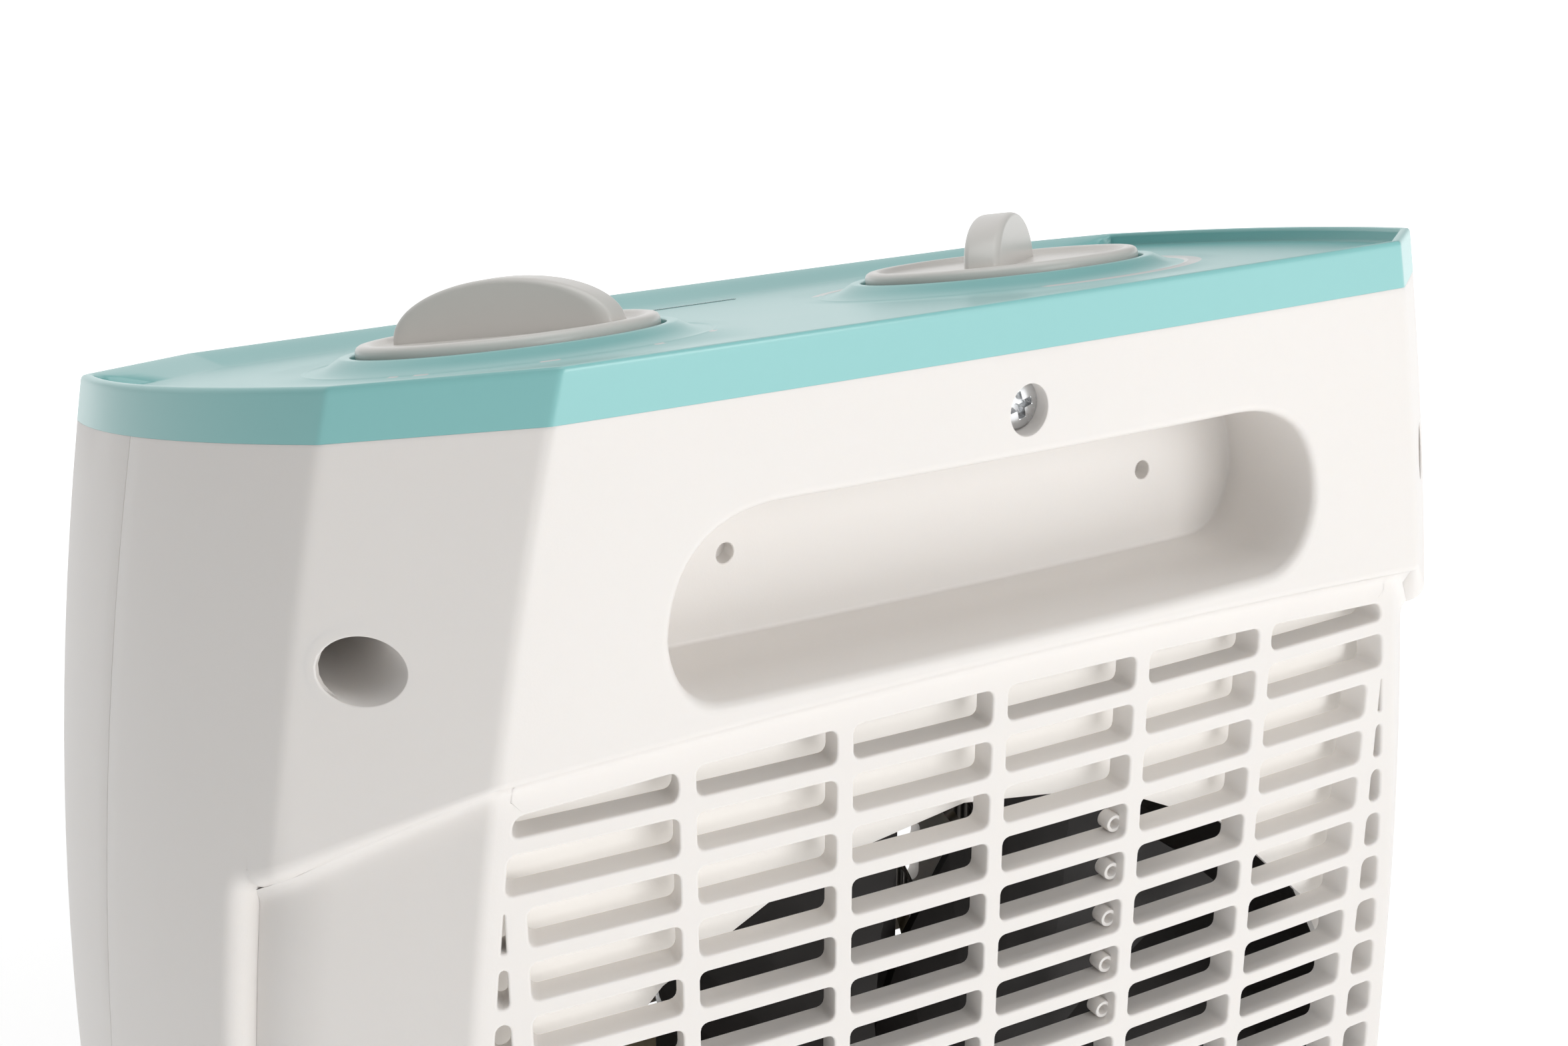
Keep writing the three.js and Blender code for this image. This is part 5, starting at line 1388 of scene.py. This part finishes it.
class HEATER_OT_stage(bpy.types.Operator):
    """Adds the floor, the lights and the camera"""
    bl_idname = "heater.stage"
    bl_label = "Stage"

    def execute(self, context):
        scene = context.scene
        mesh = bpy.data.meshes.new("floor")
        side = FLOOR_HALF
        corners = [(-side, -side, 0), (side, -side, 0), (side, side, 0), (-side, side, 0)]
        mesh.from_pydata(corners, [], [(0, 1, 2, 3)])
        mesh.materials.append(pale_floor_painted_glow())
        floor = bpy.data.objects.new("floor", mesh)
        scene.collection.objects.link(floor)
        scene.world = studio()
        scene.view_settings.view_transform = "Standard"
        for name, place, size, power in AREA_LIGHTS:
            light = bpy.data.lights.new(name, "AREA")
            light.energy = power
            light.size = size
            aimed(bpy.data.objects.new(name, light), place, LIGHT_AIM)
        camera = bpy.data.cameras.new("camera")
        camera.lens = 50.0
        camera.sensor_width = 36.0
        camera.clip_start = 0.01
        scene.camera = aimed(bpy.data.objects.new("camera", camera), CAMERA_PLACE, CAMERA_AIM)
        return {"FINISHED"}


class HEATER_OT_rear_shell(bpy.types.Operator):
    """Builds the rear half of the housing"""
    bl_idname = "heater.rear_shell"
    bl_label = "Rear shell"

    def execute(self, context):
        size = settings().housing
        piece("rear_shell_moulding", rear_shell(outline_now(), size), finish_now("housing"),
              "housing", "rear_shell", size.wall / MM, bevel_mm=0.1)
        return {"FINISHED"}


class HEATER_OT_front_shell(bpy.types.Operator):
    """Builds the front half of the housing"""
    bl_idname = "heater.front_shell"
    bl_label = "Front shell"

    def execute(self, context):
        piece("front_shell_moulding", front_shell(outline_now()), finish_now("housing"), "housing",
              "front_shell", settings().housing.wall / MM, bevel_mm=0.1)
        return {"FINISHED"}


class HEATER_OT_intake_grille(bpy.types.Operator):
    """Builds the slotted intake panel and its pins"""
    bl_idname = "heater.intake_grille"
    bl_label = "Intake grille"

    def execute(self, context):
        piece("intake_grille_moulding", intake_grille(outline_now(), settings().housing),
              finish_now("housing"), "housing", "rear_grille")
        piece("grille_pins", pins(), finish_now("housing"), "housing", None)
        return {"FINISHED"}


class HEATER_OT_outlet_grille(bpy.types.Operator):
    """Builds the slotted outlet panel"""
    bl_idname = "heater.outlet_grille"
    bl_label = "Outlet grille"

    def execute(self, context):
        piece("outlet_grille_moulding", outlet_grille(outline_now()), finish_now("housing"),
              "housing", "outlet_grille")
        return {"FINISHED"}


class HEATER_OT_cap(bpy.types.Operator):
    """Builds the cap and its lamp window"""
    bl_idname = "heater.cap"
    bl_label = "Cap"

    def execute(self, context):
        piece("top_cap_moulding", top_cap(outline_now("cap_crease")), finish_now("cap"), "housing",
              "top_cap", 0.8)
        piece("lamp_window", lamp_window(), finish_now("lens"), "housing", "indicator_lens")
        return {"FINISHED"}


class HEATER_OT_knobs(bpy.types.Operator):
    """Builds the two knobs"""
    bl_idname = "heater.knobs"
    bl_label = "Knobs"

    def execute(self, context):
        for kind in ("selector", "thermostat"):
            piece(f"{kind}_knob_moulding", knob(kind, settings().knobs), finish_now("knob"),
                  f"{kind}_control", f"{kind}_knob", sharp=50.0)
        piece("selector_pointer", pointer_groove("selector", settings().knobs),
              finish_now("groove"), "selector_control", None, 0.06)
        return {"FINISHED"}


class HEATER_OT_screws(bpy.types.Operator):
    """Builds the screw heads that can be seen, with their shanks"""
    bl_idname = "heater.screws"
    bl_label = "Screws"

    def execute(self, context):
        height = SCREW_HEAD["height"]
        head = screw_head(SCREW_HEAD["radius"], height)
        for name in ("top_screw", "case_screw_left", "case_screw_right"):
            low, high = node_box(name)
            seat = high[1] - height
            place = ((low[0] + high[0]) / 2, seat, (low[2] + high[2]) / 2)
            long = seat - low[1]
            shank = lathe([(0, 0.4), (1.9, 0.4), (1.9, 1.5 - long), (1.2, -long), (0, -long)], 20)
            grids = [along_y(g @ spin(SCREW_HEAD["turn"]), place) for g in head]
            grids.append(along_y(shank, place))
            piece(f"{name}_pan_head", grids, finish_now("zinc"), "housing", name,
                  sharp=30.0)
        return {"FINISHED"}


class HEATER_OT_feet(bpy.types.Operator):
    """Builds the feet"""
    bl_idname = "heater.feet"
    bl_label = "Feet and gland"

    def execute(self, context):
        for k in range(1, 5):
            low, high = node_box(f"foot_{k}")
            x, y = (low[0] + high[0]) / 2, (low[1] + high[1]) / 2
            top = FOOT_HEIGHT - GAP
            profile = [(0, 0.5), (4.2, 0.5), (4.8, 0.1), (5.2, 0), (8.0, 0), (8.6, 0.15), (9, 0.7),
                       (9, top - 0.3), (8.7, top), (3, top), (3, high[2]), (0, high[2])]
            piece(f"foot_{k}_pad", [lathe(profile) + (x, y, 0)], finish_now("rubber"), "housing",
                  f"foot_{k}")
        return {"FINISHED"}


NODE_FINISH = {
    "baffle": ("fan_baffle",),
    "housing": ("base_cover",),
    "dark": ("fan_duct", "fan_impeller", "thermostat_body", "selector_body", "terminal_block",
             "cord_gland", "fan_clip", "motor_mount", "motor_shaft"),
    "steel": ("thermostat_shaft", "selector_shaft", "control_bracket", "motor_plate_rear",
              "motor_plate_front", "motor_stator", "motor_rotor", "heater_ring"),
    "bronze": ("motor_bearing_rear", "motor_bearing_front"),
    "copper": ("motor_coil",),
    "nichrome": ("heating_coil_1", "heating_coil_2", "heating_coil_3"),
    "mica": ("mica_cross",),
    "zinc": ("thermal_cutout", "base_screw_1", "base_screw_2", "base_screw_3", "base_screw_4"),
}


class HEATER_OT_inner_parts(bpy.types.Operator):
    """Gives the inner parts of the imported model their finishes"""
    bl_idname = "heater.inner_parts"
    bl_label = "Inner parts"

    def execute(self, context):
        for name, nodes in NODE_FINISH.items():
            for node in nodes:
                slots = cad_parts[node].material_slots
                for slot in slots:
                    slot.material = finish_now(name)
        return {"FINISHED"}


OPERATORS = (
    HEATER_OT_stage, HEATER_OT_rear_shell, HEATER_OT_front_shell, HEATER_OT_intake_grille,
    HEATER_OT_outlet_grille, HEATER_OT_cap, HEATER_OT_knobs, HEATER_OT_screws, HEATER_OT_feet,
    HEATER_OT_inner_parts,
)


class HEATER_PT_panel(bpy.types.Panel):
    """Lists the heater's pieces and settings"""
    bl_idname = "HEATER_PT_panel"
    bl_label = "Fan heater"
    bl_space_type = "VIEW_3D"
    bl_region_type = "UI"
    bl_category = "Heater"

    def draw(self, context):
        for operator in OPERATORS:
            self.layout.operator(operator.bl_idname)
        for group in ("housing", "knobs", "finish"):
            held = getattr(context.scene.heater_settings, group)
            box = self.layout.box()
            box.label(text=group.capitalize())
            for name in held.__annotations__:
                box.prop(held, name)


CLASSES = (HousingSettings, KnobSettings, FinishSettings, HeaterSettings, *OPERATORS,
           HEATER_PT_panel)


def register():
    """Registers the classes and hangs the settings on the scene."""
    for entry in CLASSES:
        bpy.utils.register_class(entry)
    bpy.types.Scene.heater_settings = bpy.props.PointerProperty(type=HeaterSettings)


def unregister():
    """Takes the settings and the classes away again."""
    del bpy.types.Scene.heater_settings
    for entry in reversed(CLASSES):
        bpy.utils.unregister_class(entry)


def main():
    """Builds the whole heater."""
    register()
    for operator in OPERATORS:
        getattr(bpy.ops.heater, operator.bl_idname.split(".")[1])()


if __name__ == "__main__":
    main()
